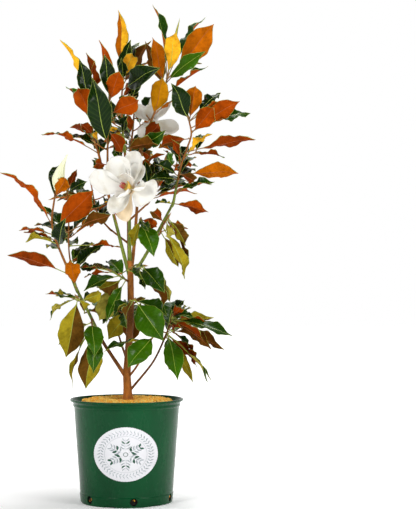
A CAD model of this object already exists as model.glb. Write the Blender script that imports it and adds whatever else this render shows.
"""A young evergreen magnolia in a green nursery pot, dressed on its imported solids.

Sizes are in metres with +Z up, in the solids' frame: the origin is the centre of the pot's underside and the
plant's front faces -Y. The tables of limbs, foliage and flowers are in centimetres, as it was measured.
"""

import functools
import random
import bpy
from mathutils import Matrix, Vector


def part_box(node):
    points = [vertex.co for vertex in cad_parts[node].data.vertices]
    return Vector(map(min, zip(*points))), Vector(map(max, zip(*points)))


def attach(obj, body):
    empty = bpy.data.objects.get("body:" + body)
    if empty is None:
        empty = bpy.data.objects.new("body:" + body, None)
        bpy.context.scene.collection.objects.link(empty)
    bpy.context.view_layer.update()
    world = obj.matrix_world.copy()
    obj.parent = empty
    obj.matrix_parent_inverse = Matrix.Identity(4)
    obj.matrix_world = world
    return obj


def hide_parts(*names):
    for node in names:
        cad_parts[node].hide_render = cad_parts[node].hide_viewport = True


bl_info = {
    "name": "Potted Magnolia",
    "version": (1, 0, 0),
    "blender": (4, 5, 0),
    "location": "3D View > Sidebar > Magnolia",
    "description": "Grows a young magnolia in its nursery pot, with bark, leaves, flowers and mulch",
    "category": "Add Mesh",
}

from math import cos, hypot, pi, radians, sin

import bpy
import numpy as np
from bpy.props import FloatProperty, FloatVectorProperty, IntProperty, PointerProperty
from mathutils import Quaternion, Vector
from mathutils.bvhtree import BVHTree

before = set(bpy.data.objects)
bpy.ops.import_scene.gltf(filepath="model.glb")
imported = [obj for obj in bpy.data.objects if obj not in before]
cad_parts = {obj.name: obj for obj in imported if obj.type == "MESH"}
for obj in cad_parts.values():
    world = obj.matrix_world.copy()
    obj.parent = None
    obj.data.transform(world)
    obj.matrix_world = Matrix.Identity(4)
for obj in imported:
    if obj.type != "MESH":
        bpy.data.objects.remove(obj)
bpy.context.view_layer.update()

CM, MM = 0.01, 0.001
TURN = 2 * pi
BODY = "root"
UPWARD = Vector((0, 0, 1))

# Where each kind of piece's random draws start, and how many sides the barks have
RULE_SEED, SHOOT_SEED, LEAF_SEED, FLOWER_SEED, MULCH_SEED = 100, 300, 500, 700, 7
TRUNK_SEED, BOUGH_SEED, STEM_SEED, STALK_SEED, TWIG_SEED = 11, 40, 80, 120, 160
TRUNK_SIDES, BOUGH_SIDES, STEM_SIDES, TWIG_SIDES = 44, 22, 16, 10

# Clearance that the solids keep between neighbours
GAP = 0.0003
STRAIGHT_START = 0.006

# Limbs: how closely a curve is followed, its rings, and how much wider than itself a limb is for clearance
PATH_STEPS = 12
RING_SPACING, FEWEST_RINGS, MOST_RINGS = 0.035, 3, 9
LIMB_MARGIN, LIMB_SIDES = 1.04, 8

# Pot, label and mulch: the sizes that the solids share. The oval's own are fitted more closely here.
LIP_RADIUS, _, POT_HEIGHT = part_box("pot")[1]
LIP_DEPTH = 0.0055
RIDGE_RADIUS, RIDGE_HEIGHT = 0.1335, 0.240
WALL_TOP_RADIUS, WALL_TOP = 0.1308, 0.236
BAND_TOP, BAND_STEP = 0.024, 0.0012
FOOT_RADIUS = 0.113
WALL, FLOOR = 0.0025, 0.0035
HOLE_COUNT, HOLE_RADIUS, HOLE_HEIGHT, HOLE_TURN = 6, 0.0095, 0.0140, 12.0
HOLE_ANGLES = [radians(-90 + HOLE_TURN + i * 360 / HOLE_COUNT) for i in range(HOLE_COUNT)]
NOTCH_SIZE = (0.026, 0.008, 0.004)
SQUARE = ((-1, -1), (1, -1), (1, 1), (-1, 1))
LABEL_HEIGHT, LABEL_TURN = 0.1300, 2.2
LABEL_HALF = (0.0768, 0.0655)
LABEL_THICK = 0.0008
LABEL_POINTS, SCALLOPS, LEAFLETS = 432, 36, 46
SEAT_HEIGHT, SEAT_RADIUS, MIX_EDGE_HEIGHT = 0.2520, 0.017, 0.244
MOUND_HEIGHT, MOUND_RADIUS = 0.2560, 0.092

# Viewpoint that the crown was measured from, in cm: how far to the right, how high and how far away
VIEW_ACROSS, VIEW_HEIGHT, VIEW_DISTANCE = 20.25, 53.0, 340.0

# Trunk: its axis as (across, depth, height) in cm, and its radius in mm at each of those points
TRUNK_AXIS = ((0.25, 0, 25.23), (0.25, 0, 26.0), (0.20, 0, 27.5), (0, 0, 31), (0.5, 0.2, 38.8),
              (0.9, 0.3, 47.5), (0.9, 0.2, 53.8), (0.75, 0, 59.8))
TRUNK_RADII = (14.0, 11.8, 10.6, 9.8, 9.0, 8.4, 8.0, 7.6)
TRUNK_RINGS, FLARE_RINGS, FLARE_SPACING = 12, 3, 0.01

# Boughs: the limb that carries it, where along that limb it leaves, its axis in cm after that point, and its
# radius in mm at its foot and at its tip
BOUGHS = {
    "bough_left_low": ("trunk", 0.15, ((-6, -1.5, 39.6), (-8.5, -2.5, 44.8), (-12.4, -3.5, 52.3)), 4.7, 3.4),
    "spur_left_inner": ("bough_left_low", 0.9, ((-12.6, 0.2, 53.2),), 2.2, 2),
    "spur_left_hanging": ("bough_left_low", 0.8, ((-10.9, -5, 49),), 2.2, 2),
    "spur_left_under": ("bough_left_low", 0.6, ((-8.6, -4.6, 45),), 2.2, 2),
    "bough_right_low": ("trunk", 0.045, ((6.5, 1, 34.5), (9.4, 1.5, 40.5)), 2.8, 2.3),
    "bough_front_low": ("trunk", 0.15, ((2.6, -2.2, 33.6), (4.6, -4.6, 37.2)), 2.6, 2.1),
    "bough_back_low": ("trunk", 0.27, ((-1.2, 4.5, 38.5), (-2.4, 8.5, 42.5)), 3, 2.3),
    "bough_left": ("trunk", 0.87, ((-0.7, -0.3, 61), (-2.9, -0.8, 69.6), (-5.75, -1.6, 80.5)), 4.6, 3.4),
    "spur_left_top": ("bough_left", 0.88, ((-4.9, -1.8, 80.4), (-4.9, -2, 83)), 2.8, 2.6),
    "bough_centre": ("tip:trunk", 1, ((0.6, -1.4, 64), (0.5, -1.6, 72), (-0.6, -1, 87.3)), 4.4, 3.2),
    "spur_flower": ("bough_centre", 0.4, ((0.2, -5.5, 72.4),), 2.8, 2.6),
    "bough_centre_right": ("trunk", 0.9, ((1.6, 2.6, 61.8), (2.4, 2.9, 72), (3.25, 2.6, 87)), 4.4, 3.2),
    "spur_centre_low": ("bough_centre_right", 0.37, ((3, -0.6, 69.2),), 2.2, 2),
    "spur_upper_flower": ("bough_centre_right", 0.9, ((3.8, 5.4, 88),), 2.2, 2.1),
    "bough_right": ("trunk", 0.9, ((3.75, 0.4, 59.7), (7.6, 0.6, 66.8), (11.25, 0.8, 73.7)), 4.2, 3.2),
    "spur_right_hanging": ("bough_right", 0.5, ((8, -2.2, 66.4),), 2.2, 2),
    "bough_back": ("trunk", 0.8, ((0.4, 5.5, 62), (0.2, 9.5, 74)), 4, 3),
    "spur_back_left": ("bough_back", 0.55, ((-4, 9.5, 67.5),), 2.4, 2.2),
    "spur_back_right": ("bough_back", 0.8, ((5, 11.5, 74),), 2.4, 2.2),
}

# Foliage masses, as in the solids: the limb that carries it, its stem's axis in cm and radius in mm at foot
# and tip, its space as (across, height, half width, half height) in cm, how many leaves the rule adds, their
# length in cm, how many side shoots this dress adds, and the measured leaves.
# A measured leaf is: where along the stem it grows, its tip in cm, how far its upper side is turned away from
# the front in degrees, the tones of its upper side and underside, its width in cm, and where they aren't the
# usual ones, the arch of its midrib and the share of it that is stalk. One without tones isn't hung here.
MASSES = {
    "leaves_left_outer": (
        "bough_left_low",
        ((-14.5, -3.8, 57.2), (-17.1, -4, 63.2), (-18.8, -4, 68.9), (-18.2, -4, 75.2), (-17.85, -4, 77.4)),
        3.4, 2.2, (-17, 69, 12, 16), 5, 11, 0,
        ((0.16, -30, -6, 61.6, 140, "GR", 3.8, 0.1, 0.22),
         (0.66, -31.4, -5, 83.5, 118, "GR", 3.4, 0.13, 0.14), (0.9, -17.6, -1, 84.6, 28, "DR", 3.6),
         (0.45, -15.6, -12, 70.3, 20, "DR", 4.6), (0.93, -15.2, -9, 80.8, 172, "GW", 3.6),
         (0.62, -8.3, -9, 77.6, 176, "DR", 5.8), (0.55, -4, -7, 71.4, 150, "DB", 3.4, 0.1, 0.5),
         (0.03, -14.3, -10, 60.4, 178, "GW", 3.6))),
    "leaves_left_inner": (
        "spur_left_inner", ((-14.2, 1.4, 59.8), (-14.6, 2.4, 64), (-14.6, 3, 72), (-15, 3, 77)), 2, 1.6,
        (-13, 69, 11, 13), 7, 11, 1,
        ((1, -10.1, -1, 79.8, 40, "GR", 3.4), (1, -12.5, 2, 83, 150, "GR", 1.8),
         (0.55, -6, 3, 74.3, 60, "DR", 4.2), (0.45, -1.4, 1, 63.3, 110, "GR", 2.8, 0.05, 0.4),
         (0.28, -10.7, -1, 60.3, 120, "DR", 2.6), (0.22, -7.9, 1, 57.9, 30, "DR", 3.4, 0.1, 0.35))),
    "leaves_left_hanging": (
        "spur_left_hanging", ((-12.3, -7.2, 50.6),), 2, 1.6, (-13, 46, 9, 11), 4, 10, 1,
        ((1, -15.2, -10.5, 35.4, 176, "GO", 6, 0.1, 0.1), (0.9, -10.3, -12, 46.6, 150, "GO", 3),
         (0.55, -6.3, -10, 51.8, 200, "GO", 3.4))),
    "leaves_left_under": (
        "spur_left_under", ((-8.8, -7, 44.4), (-8.4, -8.8, 42.2)), 2, 1.6, (-10, 36, 8, 10), 4, 10, 1,
        ((0.4, -8, -14, 36, 12, "LO", 4.9), (0.9, -10.2, -8.5, 27.6, 172, "LO", 5.2),
         (0.75, -14.7, -7, 27.9, 100, "GO", 2.2), (1, -8.2, -13, 31.6, 15, "LO", 3.8))),
    "leaves_right_low": (
        "bough_right_low", ((10.1, 1.5, 41.9), (11.1, 1.2, 45.4)), 2.3, 1.6, (14, 39, 12, 12), 8, 11.5, 2,
        ((0.95, 26.8, -2, 41, 55, "GR", 3.8, 0.1, 0.12), (1, 20, 0, 44.9, 112, "GR", 2.4),
         (0.9, 19.4, -5, 40, 122, "GR", 2.2), (0.45, 24.7, 1, 37.8, 140, "GB", 3.4),
         (1, 16.7, -3, 45.7, 60, "GB", 3, 0.25), (1, 14, -7, 48.4, 160, "GR", 3.2),
         (0.75, 12.4, -8, 42.4, 175, "GR", 3.4), (1, 14.4, 2, 50.2, 50, "DB", 2.6),
         (0.25, 21.2, -3, 30.2, 96, "GP", 2.2, 0.06), (0.18, 18.3, 0, 33.6, 140, "GR", 3.2),
         (0.05, 21.6, 3, 30, 100, "GB", 2.2, 0.08), (0.1, 17, -2, 29, 150, "GO", 2.2),
         (0.02, 12.8, -6, 30, 18, "LO", 4.6, 0.08), (0, 10.6, 2, 32.4, 40, "DB", 3.8))),
    "leaves_front_low": (
        "bough_front_low", ((6, -6.2, 40), (7, -6.8, 41.4)), 2.1, 1.5, (3, 38, 9, 8), 1, 10, 0,
        ((1, 0.2, -13, 33.2, 14, "LO", 5.2), (0.6, -6.2, -10, 37.8, 78, "GO", 3))),
    "leaves_trunk_front": (
        "trunk@0.665", ((1.3, -2.8, 49.6), (1.9, -5.2, 50.2)), 2.4, 1.6, (2, 47, 9, 8), 0, 10, 0,
        ((1, 9.1, -11, 39.8, 6, "LO", 6.8), (0.8, 10.2, -6, 46.2, 50, "GO", 4),
         (0.95, -3.6, -13, 46, 60, "GO", 3.2), (1, -0.6, -16, 43, 100, "GO", 4))),
    "leaves_trunk_back": (
        "trunk@0.60", ((0.6, 3, 47), (0.8, 6, 48)), 2.4, 1.6, (1, 44, 9, 9), 6, 11, 3,
        ((0.6, 1.4, 3.4, 39.4, 178, "GB", 5.2), (0.9, -4.7, 4, 40, 170, "GO", 4.6),
         (1, -4.4, 5, 37.2, 160, "GB", 4.6))),
    "leaves_back_low": (
        "bough_back_low", ((-3, 11, 46), (-3.2, 12.5, 48.5)), 2.3, 1.6, (-2, 43, 10, 11), 10, 12.5, 4, ()),
    "leaves_fork_left": (
        "trunk@0.84", ((-1.8, -1.8, 56), (-4, -2.8, 57.2)), 2.4, 1.6, (-5, 53, 9, 9), 3, 10, 1,
        ((1, -12, 1, 58.4, 95, "GB", 1.8, 0.06, 0.3), (0.9, -10.9, -1, 55.9, 104, "GR", 2.6),
         (0.6, -11, -6, 52.4, 52, "GO", 4.2), (0.4, -7.4, -9, 52.2, 165, "GO", 3.8),
         (0.5, -7, -8, 44.7, 178, "GP", 5), (0.25, -5.2, -7, 44.4, 24, "LO", 2.8),
         (0.15, -4.6, -5, 39.9, 188, "GO", 3.6))),
    "leaves_fork_right": (
        "trunk@0.925", ((2.4, -2.4, 58.9), (4.2, -4, 58.6)), 2.4, 1.6, (7, 53, 8, 8), 3, 10, 1,
        ((0.8, 9.5, -8, 51.8, 20, "GO", 4.8), (0.6, 9.8, -5, 46.9, 128, "GB", 3.6, 0.2),
         (0.35, 4.6, -4, 52.6, 60, "DO", 3.2), (0.9, 11.8, -4.5, 49.4, 150, "GP", 2.6, 0.18),
         (1, 3, -15, 55.6, 50, "GO", 4.2))),
    "leaves_left_top": (
        "bough_left", ((-7.2, -0.6, 86.8), (-8.5, 1.2, 91), (-8.8, 2.6, 95.5)), 3.4, 2, (-10, 98, 8, 12), 6,
        11, 3,
        ((0.4, -21.4, -3, 92.6, 104, "GR", 3.2, 0.1, 0.24), (0.7, -11.7, 0, 94.3, 150, "DR", 3.2),
         (0.95, -12.4, -3, 103.8, 176, "DR", 4.8), (0.9, -15.4, 9, 103.8, 60, "LR", 3.4),
         (1, -16.4, 7, 115.7, 122, "GY", 3, 0.1, 0.34), (1, -12, 0, 110.7, 12, "DR", 3.6, 0.08, 0.3),
         (1, -9.3, 9, 112, 125, "GR", 3.2, 0.08, 0.3), (0.05, -8.8, -6, 85.2, 40, "GR", 3))),
    "leaves_left_front": (
        "spur_left_top", ((-4.9, -2.6, 88), (-4.7, -4.6, 96), (-4.5, -5.2, 100.4)), 2.6, 1.8, (-3, 97, 9, 12),
        4, 11, 2,
        ((0.32, -9, -10, 105.8, 6, "DR", 5.6, 0.1, 0.1), (1, -5.8, -9, 111.7, 16, "DR", 3.5),
         (1, -6.2, 2, 115.2, 160, "DR", 2.8), (1, -3.8, 3, 111.2, 32, "GR", 3.2),
         (0.95, -1.9, -11, 107.4, 174, "DR", 4.4), (0.78, 3.1, -12, 100.2, 168, "DR", 5.6),
         (0.55, -1, -7, 86.8, 150, "DR", 3.6), (0.05, -7.8, -8, 84.2, 150, "DR", 4),
         (0.97, -3, -13, 104.6, 150, "", 4.2))),
    "leaves_centre_top": (
        "bough_centre", ((-1.2, 1.6, 93), (-1.4, 4.4, 100), (-1, 5.6, 105.6)), 3.2, 2, (0, 103, 10, 13), 7,
        11.5, 4,
        ((1, -2.1, 8, 122.9, 168, "GWY", 3, 0.06, 0.2), (1, -1.6, -2, 110.8, 20, "DR", 3.2),
         (1, 1.3, -4, 112.2, 176, "DY", 4), (0.85, 7.5, -9, 108.2, 10, "DR", 5.2, 0.1, 0.2),
         (1, 2.6, 11, 115.4, 30, "DR", 3.6), (0.25, 0.2, -5, 96.2, 30, "DR", 3.6),
         (0.02, 8.2, -4, 89.4, 140, "DB", 3.4, 0.12, 0.12), (0.75, 3.1, 9, 105.2, 140, "GR", 2.4))),
    "leaves_centre_low": (
        "spur_centre_low", ((3.2, -3.4, 70.2), (3.4, -4.8, 70.4)), 2, 1.6, (5, 66, 7, 7), 1, 8, 0,
        ((0.9, 6.8, -8, 60.8, 15, "LP", 4.6), (0.8, 7.6, -6, 68.2, 166, "GR", 3),
         (0.5, 5.4, -9, 67, 30, "GO", 2.4), (0.9, 1.3, -6, 63, 150, "GO", 2.8))),
    "leaves_right_top": (
        "bough_centre_right", ((5, 2.2, 92), (7, 1, 97.5), (8.75, 0, 101), (10, -0.4, 105.5)), 3.2, 2,
        (11, 105, 9, 13), 6, 11.5, 2,
        ((1, 6.7, 5, 124.7, 66, "GW", 3.2, 0.08, 0.22), (0.95, 12.3, -9, 118.1, 178, "DY", 3.8, 0.06, 0.22),
         (1, 13.2, 1, 121, 150, "PP", 0.8, 0.02, 0.3), (1, 19.6, 6, 121.4, 50, "GR", 3.2, 0.1, 0.3),
         (1, 21.9, -4, 119.3, 178, "DW", 6, 0.06, 0.25), (0.95, 19.6, -10, 112.5, 30, "LR", 4.2, 0.1),
         (0.42, 9.3, -9, 106.3, 178, "DK", 4.4, 0.06, 0.2), (0.72, 20.3, 0, 108.9, 82, "GR", 2.8, 0.06, 0.28),
         (0.9, 6.3, -3, 116.2, 172, "GW", 3.4), (0.88, 4.6, 6, 115, 165, "DB", 3.6),
         (0.95, 8.2, 9, 116.4, 60, "DR", 3.2), (0.1, 8.2, -5, 94.6, 170, "DR", 3.8),
         (0.06, 9.4, -7, 92.6, 20, "GR", 3.6), (0.02, 6.2, -5, 85.9, 176, "DB", 3.4))),
    "leaves_right_upper": (
        "bough_right", ((13.5, 0.8, 83.8), (16, 0.8, 91), (15.5, 0.6, 95)), 3.2, 2, (17, 90, 12, 16), 7, 11.5,
        3,
        ((0.02, 20.6, 0, 72, 138, "DR", 3.2, 0.1, 0.14), (0.02, 6.9, -1, 74.3, 76, "GO", 3, 0.08, 0.14),
         (0.14, 22, -1, 80, 62, "GR", 3, 0.08, 0.14), (0.36, 28.3, -3, 82.2, 148, "DW", 4, 0.05, 0.24),
         (0.38, 16.9, -8, 79.6, 162, "DB", 3.4), (0.34, 7, -4, 84.1, 46, "DB", 3.6),
         (0.3, 5.7, -7, 80.4, 32, "DR", 3.8), (0.46, 11, -2, 90.8, 120, "GR", 2.2),
         (0.63, 32.3, -2, 90.5, 126, "GR", 3.6, 0.05, 0.24), (0.8, 7.4, -2, 88.4, 140, "DB", 3.4),
         (0.86, 21.9, -6, 98.5, 176, "DR", 5.6), (0.92, 28.3, -1, 99.9, 166, "DR", 4.4, 0.08, 0.3),
         (0.88, 31.3, 2, 97.9, 72, "GR", 3.2, 0.08, 0.34), (1, 23.4, 3, 102.4, 30, "DR", 3.4, 0.08, 0.34),
         (1, 17.1, -5, 103.9, 178, "GW", 4.3), (1, 11.2, -5, 104.4, 8, "DR", 4.6))),
    "leaves_right_hanging": (
        "spur_right_hanging", ((8.8, -3.8, 68.4), (10.2, -4.6, 70.6)), 2, 1.6, (13, 64, 7, 10), 2, 9, 1,
        ((1, 15.3, -6, 63.6, 160, "GO", 3), (0.95, 15.4, -3, 58, 104, "GB", 2.6),
         (0.5, 15.5, -9, 55, 150, "GO", 3), (0.2, 12.9, -7, 58.1, 160, "GO", 3),
         (0.85, 10.4, -11, 65.2, 150, "GP", 2.2), (0.7, 6, -10, 72.6, 168, "GB", 3))),
    "leaves_back_top": (
        "bough_back", ((0.6, 11.5, 84), (1.6, 12.6, 95), (2.2, 12.6, 105)), 3, 2, (1, 98, 11, 18), 13, 13, 5,
        ()),
    "leaves_back_left": (
        "spur_back_left", ((-7.5, 11.5, 72), (-9, 12.5, 79)), 2.2, 1.6, (-10, 76, 10, 12), 10, 12, 3, ()),
    "leaves_back_right": (
        "spur_back_right", ((8, 12.5, 79), (9.5, 12.5, 85)), 2.2, 1.6, (10, 83, 10, 12), 9, 12, 3, ()),
}

# The solids' leaf, which the rule tests for clearance
BLADE = ((0.22, 0.74), (0.50, 1.0), (0.78, 0.70))
EDGE_FOLD = 0.24
LEAF_THICK = 1 / 75
LEAST_THICK = 1.4 * MM
LEAF_CLEARANCE = 0.5 * MM
STALK_RADIUS = 1.25 * MM
LAST_NODE = 0.985
USUAL_ARCH = 0.12
USUAL_STALK = 0.14
WIDTH_OF_LENGTH = 0.36
TURNS_TRIED = ((0, 0), (14, 0), (-14, 0), (0, 1.6), (0, -1.6), (26, 0.8), (-26, 0.8), (30, -2.4), (-30, 2.4))
DEEPEST = 27.0

# The plant's rule: each node is a golden share of the stem and a golden angle on from the last, and nodes
# bunch towards the tip. A leaf's angle to the stem, length, width, arch and tilt are drawn from ranges.
GOLDEN_ANGLE = 137.5
GOLDEN_SHARE = 0.61803
NODE_REACH, NODE_BUNCHING = 0.9, 1.3
NODE_STEP = 0.05
TRIES_PER_LEAF = 5
HEADING_DRIFT = 20
SPREAD_RANGE = (48, 84)
LENGTH_RANGE = (0.85, 1.15)
WIDTH_RANGE = (0.9, 1.1)
ARCH_RANGE = (0.06, 0.18)
TILT_RANGE = (-25, 25)
RULED_STALK = 0.13
LEAN = 0.55
FORWARD_LIMIT = 0.02

# Measured leaves that only this dress carries, as rows like those above
EXTRA_LEAVES = {
    "leaves_right_low":
        ((0.3, 12.8, -9, 30, 18, "LO", 4.6, 0.08), (0.3, 10.6, -4, 32.4, 40, "DB", 3.8),
         (0.5, 17.4, 2, 35.2, 60, "GR", 3), (0.9, 21.8, -4, 37.6, 150, "GB", 2.8)),
    "leaves_left_top":
        ((0.9, -8.5, 4, 110.3, 100, "LR", 3),),
    "leaves_centre_top":
        ((0.9, 5.9, 9, 115.6, 176, "DB", 3.8), (0.9, 0.9, 9, 115.3, 30, "DR", 3.8)),
}

# Where the second flower shows between the leaves, as (across, height, half width, half height) in cm, and
# how deep in cm it stands. The rule's own leaves aren't hung before it.
FLOWER_WINDOW, FLOWER_DEPTH = (5.2, 95.6, 4.6, 5.0), 7.0

# Side shoots: the range of their length in cm, their radii in mm, and their leaves
SHOOT_LENGTH = (2.2, 4.2)
SHOOT_RADII = (1.5, 1.1)
SHOOT_LEAVES = 2
SHOOT_LEAF_LENGTH = (6.5, 9.0)

# Flowers: the limb that carries the flower, its stalk's axis in cm, its cone's direction, and its tepals as
# tip in cm, how far the inner side is turned from the front in degrees, width in cm and how far it arches
FLOWERS = {
    "flower_open": (
        "spur_flower", ((0.3, -8.6, 74.6), (1, -10.4, 77.8)), (-0.94, -0.55, 0.1),
        ((-10.2, -13.5, 80.6, 18, 6, -0.14), (-3.4, -8, 86.2, 8, 5.6, -0.16),
         (2.2, -8.5, 87.4, 22, 5.4, -0.14), (6.9, -13, 74.6, 24, 6.6, -0.16), (-4, -15.5, 71, 10, 4.8, -0.14),
         (-1, -13.5, 69.8, 165, 4.2, 0.12), (-4.6, -14.5, 82.2, 60, 5, -0.22),
         (4.6, -8.2, 82.6, 20, 5.2, -0.14))),
    "flower_upper": (
        "spur_upper_flower", ((4.9, 7, 91), (6, 7.6, 94.6)), (-0.2, -0.6, 0.8),
        ((4.9, 5.6, 99.2, 14, 4.2, -0.16), (11, 6.4, 99.4, 30, 2.8, -0.12), (7.6, 9, 101, 20, 2.8, -0.12),
         (1.5, 8, 98.4, 20, 3.2, -0.12), (3.5, 5, 90.8, 10, 2.2, -0.1), (13.2, 7.6, 92.4, 10, 3.8, -0.12))),
}
TEPAL = ((0.0, 0.22), (0.25, 0.66), (0.58, 1.0), (0.88, 0.76))
TEPAL_ACROSS = (-1.0, -0.4, 0.4, 1.0)
TEPAL_CUP, TEPAL_THICK, TEPAL_SINK = 0.30, 0.0018, 0.001
CONE_LENGTH, CONE_RADIUS = 0.030, 0.0075
CONE = ((-0.1, 0.7), (0.25, 1.0), (0.7, 0.75), (1.0, 0.25))
FLOWER_STALK = (2.6, 4.2)
STALK_MARGIN = 0.2
# Tepals as they are dressed, the solids' ones and inner ones: tip, turn, width and arch as above, how far the
# sides are cupped, how far the end curls in, and for some the share that is stained
TEPALS_SHOWN = {
    "flower_open": (
        (2.4, -8, 87.4, 14, 5.2, -0.16, 0.85, 0.1), (3.4, -8.6, 84.2, 10, 4.4, -0.14, 0.6, 0.05),
        (-4.4, -9.5, 85.6, 12, 6.6, -0.18, 0.55, 0.16), (-10.2, -13.2, 80.2, 22, 6.4, -0.14, 0.4, 0.1),
        (-4.4, -15.2, 71, 14, 4.8, -0.16, 0.75, 0.06), (-1, -13.5, 69.8, 165, 4, 0.12, 0.5, 0, 1),
        (7.2, -13.4, 75.4, 20, 8, -0.17, 0.34, 0.06), (-0.4, -13.8, 82.8, -40, 5, -0.3, 0.7, 0.16),
        (-2.6, -15.4, 75.6, 62, 3.6, -0.2, 0.8, 0), (4.4, -14.8, 78.2, 55, 3.6, -0.2, 0.8, 0)),
    "flower_upper": (
        (4.9, 5.6, 99.2, 14, 4.6, -0.16, 0.7, 0.1), (11, 6.4, 99.4, 30, 3.2, -0.12, 0.6, 0),
        (7.6, 9, 101, 20, 3.4, -0.12, 0.6, 0.1), (1.5, 7.6, 98.4, 20, 3.8, -0.12, 0.6, 0.1),
        (2.9, 5, 90.8, 10, 3, -0.1, 0.5, 0), (13.2, 6.6, 92.4, 10, 4.2, -0.12, 0.5, 0.1),
        (5.2, 4, 94.2, 60, 3.4, -0.2, 0.6, 0), (8, 4.4, 96, 40, 3, -0.2, 0.7, 0)),
}
CONE_SHOWN = (-0.88, -0.50, 0.34)
STYLE_COUNT, STAMEN_COUNT = 64, 84
BUD_STEM = "leaves_left_outer"
BUD_AXIS = ((-17.3, -4.4, 80.4), (-16.4, -4.8, 83.2), (-14.9, -5.2, 86.6))
BUD_RADII = (3.0, 10.5, 15.0, 14.0, 10.0, 6.0, 3.2, 1.2)
BUD_SIDES = 10

# Where along each limb or stem its bark is still green, as shares of its length
GREEN_PART = {
    "bough_left_low": (0.55, 1.1), "leaves_left_outer": (-0.1, 0.1), "bough_left": (-0.1, 0.6),
    "bough_centre": (-0.1, 0.75), "leaves_right_upper": (-0.1, 0.28), "leaves_centre_top": (-0.1, 0.4),
    **dict.fromkeys(("leaves_fork_left", "leaves_fork_right", "leaves_trunk_front"), (0.3, 1.1)),
    **dict.fromkeys(("bough_right", "spur_flower", "spur_left_under", "spur_left_hanging",
                     "leaves_centre_low", "spur_right_hanging"), (-0.1, 1.1)),
}

# The height that the bark is darkest at, and how far a limb starts back in the one that it continues
AGED_HEIGHT = 0.43
SUNK = 0.004

# Tones of a leaf's two sides, as 8 bit sRGB, what its underside's halves may have instead, and their order
UPPER_TONES = {"D": (10, 33, 1), "G": (27, 58, 2), "L": (48, 88, 2), "P": (236, 206, 160)}
UNDER_TONES = {"R": (156, 64, 2), "Q": (124, 48, 3), "W": (174, 90, 3), "Y": (236, 170, 34),
               "K": (174, 114, 4), "B": (98, 58, 12), "O": (150, 134, 28), "N": (98, 66, 18),
               "P": (170, 158, 64)}
HALF_TONES = {"R": ["RR", "RR", "QQ", "RQ"], "O": ["OO", "ON", "NO"], "B": ["BB", "BQ"]}
TONE_ORDER = [("upper", key) for key in UPPER_TONES] + [("under", key) for key in UNDER_TONES]
RIB_PALE, RIB_WARM, RIM_PALE = range(len(TONE_ORDER), len(TONE_ORDER) + 3)
WARM_HEIGHT = 0.66

# A leaf that shows less than this many times as long as wide is slimmed, down to this share
SLIMMED_UNDER, LEAST_SLIMMED = 1.6, 0.70
LEAF_ROWS, LEAF_COLUMNS = 30, 11


def tint(red, green, blue):
    """A colour given as 8 bit sRGB, as the linear values that shaders take."""
    shares = (value / 255 for value in (red, green, blue))
    return tuple(s / 12.92 if s <= 0.04045 else ((s + 0.055) / 1.055) ** 2.4 for s in shares)


def placed(across, depth, height):
    """Where a point seen at (across, height) lies when it is that deep, in metres."""
    nearer = 1.0 + depth / VIEW_DISTANCE
    x = VIEW_ACROSS + (across - VIEW_ACROSS) * nearer
    z = VIEW_HEIGHT + (height - VIEW_HEIGHT) * nearer
    return Vector((x, depth, z)) * CM


def smooth_path(points, count):
    """Even points on a smooth curve through the given ones."""
    ends = [points[0] * 2 - points[1], *points, points[-1] * 2 - points[-2]]
    dense = []
    for i in range(len(points) - 1):
        a, b, c, d = ends[i : i + 4]
        for step in range(PATH_STEPS):
            t = step / PATH_STEPS
            dense.append(0.5 * ((2 * b) + (c - a) * t + (2 * a - 5 * b + 4 * c - d) * t * t
                                + (3 * b - a - 3 * c + d) * t ** 3))
    dense.append(points[-1].copy())
    return [point_along(dense, i / (count - 1)) for i in range(count)]


def point_along(path, share):
    """The point at a share of a path's length."""
    lengths = [(b - a).length for a, b in zip(path, path[1:])]
    left = share * sum(lengths)
    for a, b, length in zip(path, path[1:], lengths):
        if left <= length:
            return a.lerp(b, left / max(length, 1e-9))
        left -= length
    return path[-1].copy()


def path_length(points):
    return sum((b - a).length for a, b in zip(points, points[1:]))


def ring_count(points):
    return max(FEWEST_RINGS, min(MOST_RINGS, round(path_length(points) / RING_SPACING) + 1))


def taper(axis, first, last):
    """Radii along an axis, from its ends' in millimetres."""
    first, last = first * MM, last * MM
    return [first + (last - first) * i / (len(axis) - 1) for i in range(len(axis))]


def loft(rings, tip=None):
    """A closed skin over rings of equal size, with the last drawn to any tip."""
    size = len(rings[0])
    points = [p for ring in rings for p in ring]
    faces = [tuple(range(size))[::-1]]
    for r in range(len(rings) - 1):
        for i in range(size):
            j = (i + 1) % size
            faces.append((r * size + i, r * size + j, (r + 1) * size + j, (r + 1) * size + i))
    last = (len(rings) - 1) * size
    if tip is None:
        faces.append(tuple(range(last, last + size)))
    else:
        points.append(tip)
        faces += [(last + i, last + (i + 1) % size, len(points) - 1) for i in range(size)]
    return points, faces


def path_frames(path, upright):
    """Each point of a path, with its side and upward directions."""
    frames = []
    for i, point in enumerate(path):
        along = (path[min(i + 1, len(path) - 1)] - path[max(i - 1, 0)]).normalized()
        up = (upright - along * upright.dot(along)).normalized()
        frames.append((point, along.cross(up), up))
    return frames


def tube_rings(path, radii, sides):
    rings = []
    first = (path[1] - path[0]).normalized()
    upright = first.orthogonal()
    for (point, side, up), radius in zip(path_frames(path, upright), radii):
        angles = [2 * pi * i / sides for i in range(sides)]
        rings.append([point + (side * cos(a) + up * sin(a)) * radius for a in angles])
    return rings


def limb_mesh(axis, radii, grown=1.0):
    return loft(tube_rings(axis, [radius * grown for radius in radii], LIMB_SIDES))


def arched(root, tip, facing, arch):
    """The middle handle of the curve from root to tip that arches this way."""
    return (root + tip) / 2 + facing * arch * (tip - root).length


def curve(root, middle, tip, shares):
    return [root * (1 - t) ** 2 + middle * 2 * t * (1 - t) + tip * t * t for t in shares]


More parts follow.
